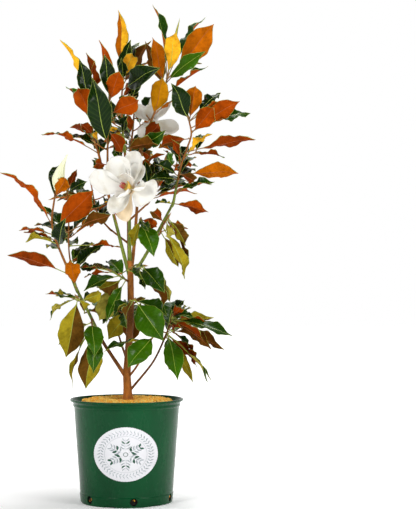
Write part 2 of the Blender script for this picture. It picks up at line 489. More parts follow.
def leaf_rings(leaf, grow=0.0):
    """The rings of a leaf grown this much. The first two are its stalk."""
    root, tip, facing, width, arch, stalk = leaf
    shares = [0.0, stalk] + [stalk + (1 - stalk) * share for share, _ in BLADE] + [1.0]
    frames = path_frames(curve(root, arched(root, tip, facing, arch), tip, shares), facing)
    rings = []
    for point, side, up in frames[:2]:
        radius = STALK_RADIUS + grow
        rings.append([point + side * radius, point + up * radius, point - side * radius, point - up * radius])
    thick = max(LEAF_THICK * (tip - root).length, LEAST_THICK) / 2 + grow
    for (point, side, up), (_, share) in zip(frames[2:], BLADE):
        half = width / 2 * share + grow
        lift = up * half * EDGE_FOLD
        rings.append([point + side * half + lift, point + up * thick,
                      point - side * half + lift, point - up * thick])
    return rings, frames[-1][0]


def face_direction(root, tip, turn):
    """The upper side's direction: 0 degrees faces the front, 90 up and 180 the back."""
    along = (tip - root).normalized()
    front = Vector((0, -1, 0))
    front = front - along * front.dot(along)
    if front.length < 0.2:
        front = UPWARD - along * along.z
    front.normalize()
    up = along.cross(front)
    if up.z < 0 or (abs(up.z) < 0.15 and up.x * (root.x + tip.x) > 0):
        up = -up
    angle = radians(turn)
    return front * cos(angle) + up * sin(angle)


def corners(points):
    return [Vector([pick(p[i] for p in points) for i in range(3)]) for pick in (min, max)]


class Space:
    """What has been placed so far, and whether a new leaf would touch it."""

    def __init__(self):
        self.things = []

    def add(self, mesh, mass):
        self.things.append((*corners(mesh[0]), BVHTree.FromPolygons(*mesh), mass))

    def clear(self, whole, blade, mass):
        """True where a leaf is clear of other masses, and its blade of its own too."""
        low, high = corners(whole[0])
        trees = {}
        for other_low, other_high, tree, other in self.things:
            if any(low[i] > other_high[i] or high[i] < other_low[i] for i in range(3)):
                continue
            near = other == mass
            if near not in trees:
                trees[near] = BVHTree.FromPolygons(*(blade if near else whole))
            if trees[near].overlap(tree):
                return False
        return True


def leaf_meshes(leaf, grow=0.0):
    """A leaf's mesh, whole and without its stalk."""
    rings, tip = leaf_rings(leaf, grow)
    return loft(rings, tip), loft(rings[2:], tip)


def try_leaf(space, mass, root, tip, facing_of, turn, width, arch, stalk):
    """Places the leaf at the first small turn that is clear, if any."""
    for extra, depth in TURNS_TRIED:
        moved = tip + Vector((0, depth * CM, 0))
        leaf = (root, moved, facing_of(root, moved, turn + extra), width, arch, stalk)
        whole, blade = leaf_meshes(leaf, LEAF_CLEARANCE)
        if space.clear(whole, blade, mass):
            space.add(leaf_meshes(leaf)[0], mass)
            return leaf
    return None


def measured_leaves(space, mass, stem, rows):
    """The measured leaves that have room, each with its tones."""
    leaves = []
    for share, across, depth, height, turn, tones, *more in rows:
        root, tip = point_along(stem, share * LAST_NODE), placed(across, depth, height)
        width, arch, stalk = (more + [0, 0, 0])[:3]
        leaf = try_leaf(space, mass, root, tip, face_direction, turn, width * CM, arch or USUAL_ARCH,
                        stalk or USUAL_STALK)
        if leaf:
            leaves.append((leaf, tones))
    return leaves


def inside(point, room):
    """True where a point is in a mass's own space, seen from the front."""
    across, height, half_width, half_height = room
    nearer = 1.0 + point.y / CM / VIEW_DISTANCE
    x = VIEW_ACROSS + (point.x / CM - VIEW_ACROSS) / nearer
    z = VIEW_HEIGHT + (point.z / CM - VIEW_HEIGHT) / nearer
    return hypot((x - across) / half_width, (z - height) / half_height) < 1


def ruled_leaves(space, mass, stem, room, count, length, rng):
    """Leaves by the plant's rule: one a node, a golden angle round from the last."""
    leaves = []
    for i in range(count * TRIES_PER_LEAF):
        if len(leaves) >= count:
            break
        share = 1.0 - NODE_REACH * ((i * GOLDEN_SHARE) % 1.0) ** NODE_BUNCHING
        root = point_along(stem, share * LAST_NODE)
        near, far = point_along(stem, share - NODE_STEP), point_along(stem, min(1, share + NODE_STEP))
        along = (far - near).normalized()
        heading = radians(GOLDEN_ANGLE * i + rng.uniform(-HEADING_DRIFT, HEADING_DRIFT))
        out = Quaternion(UPWARD, heading) @ Vector((1, 0, 0))
        spread = radians(rng.uniform(*SPREAD_RANGE))
        way = (along * cos(spread) + out * sin(spread)).normalized()
        size = length * CM * rng.uniform(*LENGTH_RANGE)
        tip = root + way * size
        if tip.y < root.y - FORWARD_LIMIT or abs(tip.y) > DEEPEST * CM:
            continue
        if not inside(tip, room) or not inside((root + tip) / 2, room):
            continue
        tilt = rng.uniform(*TILT_RANGE)
        upright = (UPWARD - out * (LEAN if along.z > 0 else 0)).normalized()
        leaf = ruled_leaf(space, mass, root, tip, upright, tilt, size, rng)
        if leaf:
            leaves.append(leaf)
    return leaves


def upper_side(upright, root, tip, turn):
    """The upper side's direction: as near upright as the leaf's way allows, then turned."""
    way = (tip - root).normalized()
    return Quaternion(way, radians(turn)) @ (upright - way * upright.dot(way)).normalized()


def ruled_leaf(space, mass, root, tip, upright, tilt, size, rng):
    facing_of = functools.partial(upper_side, upright)
    width = size * WIDTH_OF_LENGTH * rng.uniform(*WIDTH_RANGE)
    return try_leaf(space, mass, root, tip, facing_of, tilt, width, rng.uniform(*ARCH_RANGE), RULED_STALK)


def limb_table():
    """Every bare limb's sampled axis and radii, the trunk's first."""
    points = [placed(*p) for p in TRUNK_AXIS]
    flare = points[:FLARE_RINGS]
    above = [p for p in smooth_path(points, TRUNK_RINGS) if p.z > flare[-1].z + FLARE_SPACING]
    axis = flare + above
    radii = [float(r) * MM for r in np.interp([p.z for p in axis], [p.z for p in points], TRUNK_RADII)]
    limbs = {"trunk": (axis, radii)}
    for name, (parent, share, points, foot, tip) in BOUGHS.items():
        points = [placed(*p) for p in points]
        if parent.startswith("tip:"):
            axis = axis_past_tip(limbs[parent[4:]][0], points)
        else:
            path = [point_along(limbs[parent][0], share)] + points
            axis = smooth_path(path, ring_count(path))
        limbs[name] = (axis, taper(axis, foot, tip))
    return limbs


def axis_past_tip(axis, points):
    """The axis of a piece that starts just past a limb's tip and runs straight on."""
    way = (axis[-1] - axis[-2]).normalized()
    start = axis[-1] + way * GAP
    path = [start + way * STRAIGHT_START] + points
    return [start] + smooth_path(path, ring_count(path))


def stem_axis(carrier, points, limbs):
    """A mass's stem, from its bough's tip or from inside the trunk."""
    points = [placed(*p) for p in points]
    if "@" in carrier:
        parent, share = carrier.split("@")
        path = [point_along(limbs[parent][0], float(share))] + points
        return smooth_path(path, ring_count(path))
    return axis_past_tip(limbs[carrier][0], points)


def tepal_rings(root, tip, facing, width, arch):
    """The solids' tepal."""
    shares = [share for share, _ in TEPAL] + [1.0]
    path = curve(root, arched(root, tip, facing, arch), tip, shares)
    rings = []
    for (point, side, up), (_, share) in zip(path_frames(path, facing), TEPAL):
        half = width / 2 * share
        row = [point + side * half * u + up * TEPAL_CUP * half * u * u for u in TEPAL_ACROSS]
        over = [p + up * TEPAL_THICK / 2 for p in row]
        under = [p - up * TEPAL_THICK / 2 for p in row]
        rings.append(over[::-1] + under)
    return rings, path[-1]


def tepal_list(axis, tepals):
    """A flower's tepals as root, tip, inner side's direction, width and arch."""
    heart = axis[-1]
    found = []
    for across, depth, height, turn, width, arch in tepals:
        tip = placed(across, depth, height)
        facing = face_direction(heart, tip, turn)
        found.append((heart - (tip - heart).normalized() * TEPAL_SINK, tip, facing, width * CM, arch))
    return found


def flower_meshes(axis, cone, tepals):
    """The solids' flower: its tepals, its cone and its stalk."""
    way = Vector(cone).normalized()
    path = [axis[-1] + way * CONE_LENGTH * share for share, _ in CONE]
    stalk = taper(axis, *(radius + STALK_MARGIN for radius in FLOWER_STALK))
    return [*(loft(*tepal_rings(*tepal)) for tepal in tepals),
            limb_mesh(path, [CONE_RADIUS * radius for _, radius in CONE]), limb_mesh(axis, stalk)]


@functools.lru_cache(maxsize=None)
def crown():
    """Where every limb, stem, leaf, tepal and bud is, by the solids' own rule."""
    space, limbs = Space(), limb_table()
    for name, (axis, radii) in limbs.items():
        space.add(limb_mesh(axis, radii, LIMB_MARGIN), name)
    stems, flowers = {}, {}
    for name, (carrier, points, first, last, *_) in MASSES.items():
        axis = stem_axis(carrier, points, limbs)
        stems[name] = (axis, taper(axis, first, last))
        space.add(limb_mesh(*stems[name], LIMB_MARGIN), name)
    for name, (carrier, points, cone, rows) in FLOWERS.items():
        axis = stem_axis(carrier, points, limbs)
        tepals = tepal_list(axis, rows)
        flowers[name] = (axis, cone, tepals)
        for mesh in flower_meshes(axis, cone, tepals):
            space.add(mesh, name)
    bud_stem = stems[BUD_STEM][0]
    start = bud_stem[-1] + (bud_stem[-1] - bud_stem[-2]).normalized() * GAP
    bud = smooth_path([start] + [placed(*p) for p in BUD_AXIS], len(BUD_RADII))
    space.add(loft(tube_rings(bud, [r * MM for r in BUD_RADII], BUD_SIDES)), "bud")
    leaves = {name: measured_leaves(space, name, stems[name][0], mass[-1]) for name, mass in MASSES.items()}
    for number, (name, (*_, room, count, length, _, _)) in enumerate(MASSES.items()):
        rng = random.Random(RULE_SEED + number)
        found = ruled_leaves(space, name, stems[name][0], room, count, length, rng)
        leaves[name] += [(leaf, ruled_tones(leaf, rng)) for leaf in found]
    shoots = {}
    for number, name in enumerate(name for name, mass in MASSES.items() if mass[-2]):
        rng = random.Random(SHOOT_SEED + number)
        shoots[name], found = side_shoots(space, name, stems[name][0], MASSES[name][4], MASSES[name][-2], rng)
        leaves[name] += [(leaf, ruled_tones(leaf, rng)) for leaf in found]
    for name, found in leaves.items():
        measured = len(MASSES[name][-1])
        kept = found[:measured] + [pair for pair in found[measured:] if not hides_flower(pair[0])]
        kept += measured_leaves(space, name, stems[name][0], EXTRA_LEAVES.get(name, ()))
        leaves[name] = [(leaf, tones) for leaf, tones in kept if tones]
    return limbs, stems, flowers, bud, leaves, shoots


def hides_flower(leaf):
    """True where a leaf hangs before the second flower as seen from the front."""
    root, tip = leaf[:2]
    before = min(root.y, tip.y) < FLOWER_DEPTH * CM
    return before and any(inside(root.lerp(tip, share), FLOWER_WINDOW) for share in (0.3, 0.5, 0.7, 0.9))


def side_shoots(space, mass, stem, room, count, rng):
    """Short side twigs by the same rule, each with small leaves, where there is room."""
    shoots, leaves = [], []
    for i in range(count * TRIES_PER_LEAF):
        if len(shoots) >= count:
            break
        share = 0.25 + 0.7 * ((i * GOLDEN_SHARE + 0.4) % 1.0)
        root = point_along(stem, share)
        heading = radians(GOLDEN_ANGLE * i + 60 + rng.uniform(-HEADING_DRIFT, HEADING_DRIFT))
        out = Vector((cos(heading), sin(heading), rng.uniform(0.1, 0.8))).normalized()
        size = rng.uniform(*SHOOT_LENGTH) * CM
        end = root + out * size
        if end.y < root.y - FORWARD_LIMIT / 2 or not inside(end, room):
            continue
        path = [root, root.lerp(end, 0.5) + Vector((0, 0, -0.06 * size)), end]
        radii = taper(path, *SHOOT_RADII)
        whole, outer = (limb_mesh(path[k:], radii[k:]) for k in (0, 1))
        if not space.clear(whole, outer, mass):
            continue
        found = shoot_leaves(space, mass, path, room, rng)
        if found:
            space.add(whole, mass)
            shoots.append((path, radii))
            leaves += found
    return shoots, leaves


def shoot_leaves(space, mass, path, room, rng):
    """The leaves of one side twig, from its middle to its end."""
    leaves = []
    along = (path[-1] - path[0]).normalized()
    flat = along.orthogonal().normalized()
    for k in range(SHOOT_LEAVES):
        root = point_along(path, 1 - 0.22 * k)
        out = Quaternion(along, radians(GOLDEN_ANGLE * k + rng.uniform(0, 40))) @ flat
        size = rng.uniform(*SHOOT_LEAF_LENGTH) * CM
        tip = root + (along * rng.uniform(0.4, 1.0) + out).normalized() * size
        if inside(tip, room):
            upright = UPWARD - out * 0.4
            leaves.append(ruled_leaf(space, mass, root, tip, upright, 0, size, rng))
    return [leaf for leaf in leaves if leaf]


def ruled_tones(leaf, rng):
    """A ruled leaf's tones: dark over rust high up, brighter over olive and brown low down."""
    high = leaf[1].z > WARM_HEIGHT
    upper = rng.choices("DGL", (6, 3, 1) if high else (2, 5, 3))[0]
    under = rng.choices("RWYKBOP", (8, 4, 1, 1, 2, 0, 0) if high else (1, 0, 0, 0, 4, 6, 1))[0]
    return upper + under


# Shapes


@functools.lru_cache(maxsize=None)
def ring_faces(rows, size):
    """Triangles of a closed skin over rows and two end points, and their rows and columns."""
    row, column = np.indices((rows - 1, size)).reshape(2, -1)
    after = (column + 1) % size
    near, far = row * size, (row + 1) * size
    lower = np.stack([near + column, near + after, far + after], 1)
    upper = np.stack([near + column, far + after, far + column], 1)
    around = np.arange(size)
    onward = (around + 1) % size
    first, last, final = rows * size, rows * size + 1, (rows - 1) * size
    start = np.stack([onward, around, np.full(size, first)], 1)
    end = np.stack([final + around, final + onward, np.full(size, last)], 1)
    row_of = np.concatenate([row, row, np.zeros(size, int), np.full(size, rows - 1)])
    column_of = np.concatenate([column, column, around, around])
    return np.concatenate([lower, upper, start, end]), row_of, column_of


class Skin:
    """Closed shapes for one object. Marks are material numbers, one a shape or one a face."""

    def __init__(self):
        self.points, self.faces, self.marks, self.places, self.count = [], [], [], [], 0

    def add_faces(self, points, faces, marks, places):
        solid = points[faces]
        volume = np.einsum("ij,ij->i", solid[:, 0], np.cross(solid[:, 1], solid[:, 2])).sum()
        self.points.append(points)
        self.faces.append((faces if volume > 0 else faces[:, ::-1]) + self.count)
        self.marks.append(np.broadcast_to(marks, len(faces)))
        self.places.append(places)
        self.count += len(points)

    def add(self, rings, start, end, marks=0, places=None):
        """A closed skin over rings, rows by columns by 3, drawn to a point at either end."""
        rows, size = rings.shape[:2]
        faces, row_of, column_of = ring_faces(rows, size)
        points = np.concatenate([rings.reshape(-1, 3), [start], [end]])
        if places is None:
            places = np.zeros((rows, size, 2))
        places = np.concatenate([places.reshape(-1, 2), [places[0].mean(0)], [places[-1].mean(0)]])
        self.add_faces(points, faces, np.broadcast_to(marks, (rows, size))[row_of, column_of], places)

    def link(self, name, materials=(), flat=True):
        """One object of all the shapes, in the scene."""
        mesh = bpy.data.meshes.new(name)
        faces = np.concatenate(self.faces).tolist()
        mesh.from_pydata(np.concatenate(self.points).tolist(), [], faces, shade_flat=flat)
        for material in materials:
            mesh.materials.append(material)
        obj = bpy.data.objects.new(name, mesh)
        bpy.context.scene.collection.objects.link(obj)
        return obj

    def build(self, name, materials, nodes=(), mapped=False):
        """One smooth object that rides on the plant and stands for these nodes."""
        obj = self.link(name, materials, False)
        obj.data.polygons.foreach_set("material_index", np.concatenate(self.marks).astype(np.int32))
        if mapped:
            places = np.concatenate(self.places)[np.concatenate(self.faces).ravel()]
            obj.data.uv_layers.new(name="leaf").data.foreach_set("uv", places.astype(np.float32).ravel())
        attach(obj, BODY)
        if nodes:
            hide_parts(*nodes)
        return obj


def any_phase(rng):
    return rng.uniform(0, 6.3)


def circle(count):
    """That many even angles round a circle."""
    return np.linspace(0, TURN, count, endpoint=False)


def unit(rows):
    return rows / np.maximum(np.linalg.norm(rows, axis=-1, keepdims=True), 1e-12)


def flattened(rows, along):
    """Directions with their part along the path taken out."""
    return unit(rows - along * np.einsum("ij,ij->i", rows, along)[:, None])


def carried_frames(path):
    """Directions along, beside and above a path, which turn as little as they can."""
    along = unit(np.gradient(path, axis=0))
    ups = np.empty_like(path)
    up = np.array(Vector(along[0]).orthogonal().normalized())
    for i, way in enumerate(along):
        up = up - way * up.dot(way)
        up = up / np.linalg.norm(up)
        ups[i] = up
    return along, np.cross(along, ups), ups


def tube(path, radii, sides):
    """Rings round a path and its two ends, with a radius a row, or a row and side."""
    path = np.asarray(path, float)
    _, side, up = carried_frames(path)
    angle = circle(sides)[:, None]
    spokes = side[:, None] * np.cos(angle) + up[:, None] * np.sin(angle)
    radii = np.asarray(radii, float)
    radii = np.broadcast_to(radii if radii.ndim == 2 else radii.reshape(-1, 1), (len(path), sides))
    return path[:, None] + spokes * radii[..., None], path[0], path[-1]


def bend(root, middle, tip, shares):
    """Points on a simple curve, and its direction there."""
    t = np.asarray(shares)[:, None]
    root, middle, tip = (np.array(p) for p in (root, middle, tip))
    points = root * (1 - t) ** 2 + middle * 2 * t * (1 - t) + tip * t * t
    return points, unit((middle - root) * (1 - t) + (tip - middle) * t)


def sheet(path, side, up, spread, lift):
    """Rows of points across a path, this far aside and this far up."""
    return path[:, None] + side[:, None] * spread[..., None] + up[:, None] * lift[..., None]


def smoothed(values, reach):
    """Values evened out over this many neighbours on either side."""
    kernel = np.hanning(2 * reach + 1)
    return np.convolve(np.pad(values, reach, mode="edge"), kernel / kernel.sum(), mode="valid")


def ease(values, first, last):
    """0 before first, 1 past last, and smooth between them."""
    t = np.clip((values - first) / (last - first), 0, 1)
    return t * t * (3 - 2 * t)


# Leaves


def blade_outline(share, widest):
    """A leaf's half width at a share of its blade, as a share of the widest."""
    body = np.sin(np.pi * np.clip(share, 0, 1) ** widest) ** 1.05
    return body * (1 - 0.36 * ease(share, 0.70, 1.0))


def add_leaf(skin, leaf, tones, settings, rng):
    """One blade, folded at its midrib, waved at its edges and twisted a little."""
    root, tip, facing, width, arch, stalk = leaf
    length = (tip - root).length
    seen = hypot(tip.x - root.x, tip.z - root.z) * (1 - stalk)
    width *= min(1.0, max(LEAST_SLIMMED, seen / width / SLIMMED_UNDER))
    narrow = min(1.0, max(0.0, (0.040 - width) / 0.016))
    share = np.arange(LEAF_ROWS) / LEAF_ROWS
    share = share + 0.012 * np.sin(TURN * share)
    path, along = bend(root, arched(root, tip, facing, arch), tip, stalk + (1 - stalk) * share)
    up = flattened(np.broadcast_to(np.array(facing), path.shape), along)
    side = np.cross(along, up)
    twist = radians(rng.choice((-1, 1)) * (rng.uniform(6, 20) + 24 * narrow)) * (share - 0.4)
    up, side = (up * np.cos(twist)[:, None] + side * np.sin(twist)[:, None],
                side * np.cos(twist)[:, None] - up * np.sin(twist)[:, None])
    sway = rng.uniform(-0.018, 0.018) * length * np.sin(TURN * share)
    curl = rng.choice((0.015, 0.03, 0.05, 0.08)) * length * ease(share, 0.66, 1.0)
    path = path + side * sway[:, None] - up * curl[:, None]

    outline = blade_outline(share, rng.uniform(0.86, 1.06))
    half = np.maximum(outline * width * 0.54, STALK_RADIUS * (1 - share))
    rib = np.minimum(settings.rib_width / 2 * (1.15 - 0.75 * share), half * 0.42) / half
    rim = 1 - np.minimum(settings.rim_width / half, 0.25)
    across = np.stack([-np.ones_like(rim), -rim, -0.68 * rim, -0.34 * rim, -rib, rib * 0, rib,
                       0.34 * rim, 0.68 * rim, rim, np.ones_like(rim)], 1)
    fold = settings.fold * rng.uniform(0.5, 1.4)
    rolled = rng.uniform(0.02, 0.20)
    lift = half[:, None] * (fold * np.abs(across) ** 1.1 - rolled * np.abs(across) ** 4)
    height = min(settings.wave * (0.7 + 1.5 * narrow) * min(1.0, length / 0.11), 0.20 * width)
    turns = rng.uniform(1.4, 2.6)
    for sign in (-1, 1):
        edge = np.clip(across * sign, 0, 1) ** 1.8
        ripple = np.sin(TURN * turns * share + rng.uniform(0, TURN)) * np.sin(np.pi * share) ** 0.6
        fine = 0.3 * np.sin(TURN * 3.1 * turns * share + rng.uniform(0, TURN))
        lift += edge * height * (ripple + fine * np.sin(np.pi * share))[:, None]
    ragged = 1 + 0.035 * np.sin(TURN * 4.3 * share + any_phase(rng)) * np.sin(np.pi * share)
    spread = across * (half * ragged)[:, None]
    upper = sheet(path, side, up, spread, lift)

    groove = np.zeros(LEAF_COLUMNS)
    groove[[4, 5, 6]] = (-0.00025, 0.00010, -0.00025)
    upper = upper + up[:, None] * groove[:, None]
    depth = np.full((LEAF_ROWS, LEAF_COLUMNS), settings.thickness)
    depth[:, 5] = (settings.thickness + 0.0009) * (1.1 - 0.7 * share)
    lower = (upper - up[:, None] * depth[..., None])[:, 9:0:-1]
    rings = np.concatenate([upper, lower], 1)
    mapped = np.stack(np.broadcast_arrays(share[:, None], across * 0.5 + 0.5), -1)
    mapped = np.concatenate([mapped, mapped[:, 9:0:-1]], 1)

    first, second = rng.choice(HALF_TONES.get(tones[1:], [tones[1:]])).ljust(2, tones[-1])
    over = TONE_ORDER.index(("upper", tones[0]))
    under, other = (TONE_ORDER.index(("under", key)) for key in (first, second))
    rib_under = RIB_PALE if tones[1] in "OPY" else RIB_WARM
    marks = np.array([RIM_PALE] + [over] * 3 + [RIB_PALE] * 2 + [over] * 3 + [RIM_PALE]
                     + [RIM_PALE] + [under] * 3 + [rib_under] * 2 + [other] * 3 + [RIM_PALE])
    skin.add(rings, path[0], np.array(tip) - up[-1] * curl[-1], marks, mapped)


def leaf_stalk(leaf):
    """A leaf's stalk, thicker where it leaves the twig."""
    root, tip, facing, _, arch, stalk = leaf
    path, _ = bend(root, arched(root, tip, facing, arch), tip, np.linspace(0, stalk + 0.03, 9))
    steps = np.linspace(0, 1, 9)
    return path, (1.15 + 0.75 * np.exp(-steps * 7) + 0.15 * steps) * MM


# Bark


def limb_path(axis, radii, step, back=0.0):
    """A limb's axis and radii in fine steps, started this far back in what carries it."""
    axis = list(axis)
    if back:
        axis[0] = axis[0] - (axis[1] - axis[0]).normalized() * back
    count = max(6, round(path_length(axis) / step))
    path = np.array(smooth_path(axis, count))
    share = np.linspace(0, 1, count)
    return path, np.interp(share, np.linspace(0, 1, len(radii)), radii), share


def bark_radii(path, radii, sides, depth, seed, scar_gap):
    """Radii over a limb's surface, with fine furrows and old leaf scars as low collars."""
    rng = random.Random(seed)
    angle = circle(sides)[None]
    run = np.concatenate([[0], np.cumsum(np.linalg.norm(np.diff(path, axis=0), axis=1))])[:, None]
    relief = np.zeros((len(path), sides))
    for turns, speed, height in ((2, 40, 0.30), (3, 95, 0.28), (5, 60, 0.26), (7, 210, 0.22), (9, 330, 0.18)):
        relief += height * np.sin(turns * angle + speed * run + any_phase(rng))
    place = scar_gap * rng.uniform(0.3, 1.0)
    while place < run[-1, 0]:
        across = np.cos(angle - any_phase(rng)) * 0.5 + 0.6
        relief += 2.6 * across * np.exp(-(((run - place) / 0.0013) ** 2))
        place += scar_gap * rng.uniform(0.6, 1.4)
    return radii[:, None] + relief * depth * (0.4 + 0.6 * radii[:, None] / radii.max())


def green_marks(name, share, sides, seed):
    """1 where a limb's bark is still green and 0 elsewhere, with a mottled border."""
    first, last = GREEN_PART.get(name, (2, 2))
    rng = random.Random(seed)
    angle = circle(sides)[None]
    drift = 0.05 * np.sin(2 * angle + any_phase(rng)) + 0.03 * np.sin(3 * angle + 90 * share[:, None])
    return ((share[:, None] + drift > first) & (share[:, None] + drift < last)).astype(int)


def add_limb(skin, name, axis, radii, number, sides, back=0.0):
    """One bough, spur or stem with its bark, swollen a little at its foot."""
    path, radii, share = limb_path(axis, radii, 0.0028, back)
    run = share * path_length([Vector(p) for p in axis])
    radii = radii * (1 + 0.16 * np.exp(-run / 0.010) + 0.14 * np.exp(-run / 0.050))
    radii[-1] *= 0.9
    surface = bark_radii(path, radii, sides, 0.00016, number, 0.021)
    skin.add(*tube(path, surface, sides), green_marks(name, share, sides, number))


# Flowers


def tepal_outline(share):
    opening = 0.22 + 0.78 * ease(share, 0.0, 0.62)
    closing = np.sqrt(np.clip(1 - np.clip((share - 0.60) / 0.40, 0, 1) ** 2.4, 0, 1))
    return opening * closing


def add_tepal(skin, heart, row, settings, rng):
    """One waxy tepal: cupped, thicker at its foot, waved, and curled in at its end."""
    across, depth, height, turn, width, arch, cup, curl, *stained = row
    tip = placed(across, depth, height)
    facing = face_direction(heart, tip, turn)
    root = heart - (tip - heart).normalized() * TEPAL_SINK
    length = (tip - root).length
    rows, columns = 26, 17
    share = np.linspace(0, 1, rows + 1)[:-1]
    path, along = bend(root, arched(root, tip, facing, arch), tip, share)
    up = flattened(np.broadcast_to(np.array(facing), path.shape), along)
    path = path + up * (curl * length * ease(share, 0.45, 1.1))[:, None]
    side = np.cross(along, up)
    half = tepal_outline(share) * width * CM * 0.54
    u = np.linspace(-1, 1, columns)[None]
    wave = settings.petal_wave * np.sin(TURN * (1.6 * share[:, None] + 0.35 * u) + any_phase(rng))
    crease = 0.0007 * np.sin(u * 8 + any_phase(rng)) * np.sin(np.pi * share)[:, None]
    rolled = -rng.uniform(0.05, 0.22) * half[:, None] * ease(np.abs(u), 0.7, 1) * ease(share, 0.5, 1)[:, None]
    lift = cup * half[:, None] * (0.7 * u * u + 0.3 * u ** 4)
    lift = lift + wave * np.abs(u) ** 2 * ease(share, 0.1, 0.7)[:, None] + crease + rolled
    spread = half[:, None] * u * (1 - 0.16 * min(cup, 1.0) * u * u)
    middle = sheet(path, side, up, spread, lift)
    thick = settings.petal_thickness * (1.3 - 0.7 * share)[:, None] * (1 - 0.8 * np.abs(u) ** 3)
    half_depth = up[:, None] * thick[..., None] / 2
    rings = np.concatenate([(middle + half_depth)[:, ::-1], middle - half_depth], 1)
    stain = (share < (stained[0] if stained else settings.stained))[:, None].astype(int)
    skin.add(rings, path[0], np.array(tip) + up[-1] * curl * length, stain)


def add_heart(skin, heart, cone, rng):
    """The cone of carpels with its curled styles, and the stamens round its foot."""
    way = np.array(Vector(cone).normalized())
    side = np.array(Vector(way).orthogonal().normalized())
    across = np.cross(way, side)
    steps = np.linspace(0, 1, 6)[:, None]

    def girth(share):
        return CONE_RADIUS * 0.78 * np.sqrt(np.clip(1 - (share / 1.02) ** 2, 0.03, 1))

    def outward(number, drift=0.0):
        angle = radians(GOLDEN_ANGLE * number) + drift
        return side * cos(angle) + across * sin(angle)

    shares = np.linspace(-0.1, 0.92, 14)
    skin.add(*tube(heart + way * (shares * CONE_LENGTH)[:, None], girth(shares), 16), 2)
    for i in range(STYLE_COUNT):
        rise = (i + 0.5) / STYLE_COUNT
        share = 0.28 + 0.66 * rise
        reach = girth(share) * 0.8 + 0.0040 * np.sin(steps * 2.4)
        curl = heart + way * share * CONE_LENGTH + outward(i) * reach + way * (0.0040 * steps ** 1.5)
        skin.add(*tube(curl, 0.00085 * (1.1 - 0.7 * steps.ravel()), 6), 3 if rise > 0.45 else 2)
    for i in range(STAMEN_COUNT):
        out = outward(i, rng.uniform(-0.1, 0.1))
        foot = heart + way * CONE_LENGTH * (0.02 + 0.22 * ((i * 0.618) % 1)) + out * CONE_RADIUS * 0.7
        size = rng.uniform(0.011, 0.015)
        line = foot + out * size * 0.62 * steps + way * size * (0.25 * steps + 0.55 * steps ** 2)
        skin.add(*tube(line, 0.00075 * (1.0 - 0.35 * np.abs(steps.ravel() * 2 - 1) ** 3), 6), 4)


def add_bud(skin, path):
    """The closed bud: tepals wrapped round each other, drawn to a slim point."""
    rows, sides = 64, 48
    fine = smooth_path(path, rows)
    share = np.linspace(0, 1, rows)
    radii = smoothed(np.interp(share, np.linspace(0, 1, len(BUD_RADII)), BUD_RADII) * MM, 6)
    angle = circle(sides)[None]
    turn = ((angle + 2.6 * share[:, None]) * 3 / (2 * np.pi)) % 1.0
    overlap = np.where(turn < 0.88, turn / 0.88, (1 - turn) / 0.12)
    soft = 0.02 * np.sin(5 * angle + 8 * share[:, None])
    surface = radii[:, None] * (0.95 + 0.085 * overlap * np.sin(np.pi * share)[:, None] ** 0.5 + soft)
    skin.add(*tube(fine, surface, sides), 0)


# Pot, label and mulch


def wall_radius(height):
    """The pot's outer radius between its lower band and its ridge."""
    low = FOOT_RADIUS + 0.0022
    return low + (WALL_TOP_RADIUS - low) * (height - BAND_TOP) / (WALL_TOP - BAND_TOP)


def rounded(corners, radius, steps=5):
    """A profile's points with each inner corner turned into a small arc."""
    corners = [np.array(c, float) for c in corners]
    points = [corners[0]]
    for before, corner, after in zip(corners, corners[1:], corners[2:]):
        back, ahead = before - corner, after - corner
        cut = min(radius, 0.45 * np.linalg.norm(back), 0.45 * np.linalg.norm(ahead))
        start = corner + back / np.linalg.norm(back) * cut
        end = corner + ahead / np.linalg.norm(ahead) * cut
        for t in np.linspace(0, 1, steps):
            points.append(start * (1 - t) ** 2 + corner * 2 * t * (1 - t) + end * t * t)
    return points + [corners[-1]]


def turned(profile, sides, wobble=None):
    """A turned shape from its (radius, height) points, which start and end on the axis."""
    profile = np.array(profile)
    angle = circle(sides)[None]
    radius = np.broadcast_to(profile[1:-1, :1], (len(profile) - 2, sides))
    height = np.broadcast_to(profile[1:-1, 1:], radius.shape)
    if wobble:
        radius, height = wobble(radius, height, angle)
    rings = np.stack([radius * np.cos(angle), radius * np.sin(angle), height], -1)
    return rings, np.array([0, 0, profile[0, 1]]), np.array([0, 0, profile[-1, 1]])


def pot_profile():
    inner_top = wall_radius(WALL_TOP) - WALL
    inner_low = wall_radius(BAND_TOP) - WALL
    corners = [
        (0, FLOOR), (inner_low, FLOOR), (inner_low, BAND_TOP), (inner_top, WALL_TOP),
        (LIP_RADIUS - 0.0065, POT_HEIGHT - LIP_DEPTH + 0.001), (LIP_RADIUS - 0.0050, POT_HEIGHT),
        (LIP_RADIUS, POT_HEIGHT), (LIP_RADIUS, POT_HEIGHT - LIP_DEPTH),
        (LIP_RADIUS - 0.0034, POT_HEIGHT - LIP_DEPTH), (RIDGE_RADIUS - 0.0008, RIDGE_HEIGHT + 0.0044),
        (RIDGE_RADIUS, RIDGE_HEIGHT + 0.0006), (RIDGE_RADIUS - 0.0002, RIDGE_HEIGHT - 0.0024),
        (WALL_TOP_RADIUS, WALL_TOP - 0.0008), (wall_radius(BAND_TOP), BAND_TOP + 0.0002),
        (wall_radius(BAND_TOP) + BAND_STEP, BAND_TOP - 0.0012), (FOOT_RADIUS + 0.0010, 0.0014),
        (FOOT_RADIUS, 0), (0, 0)]
    return rounded(corners, 0.0018)


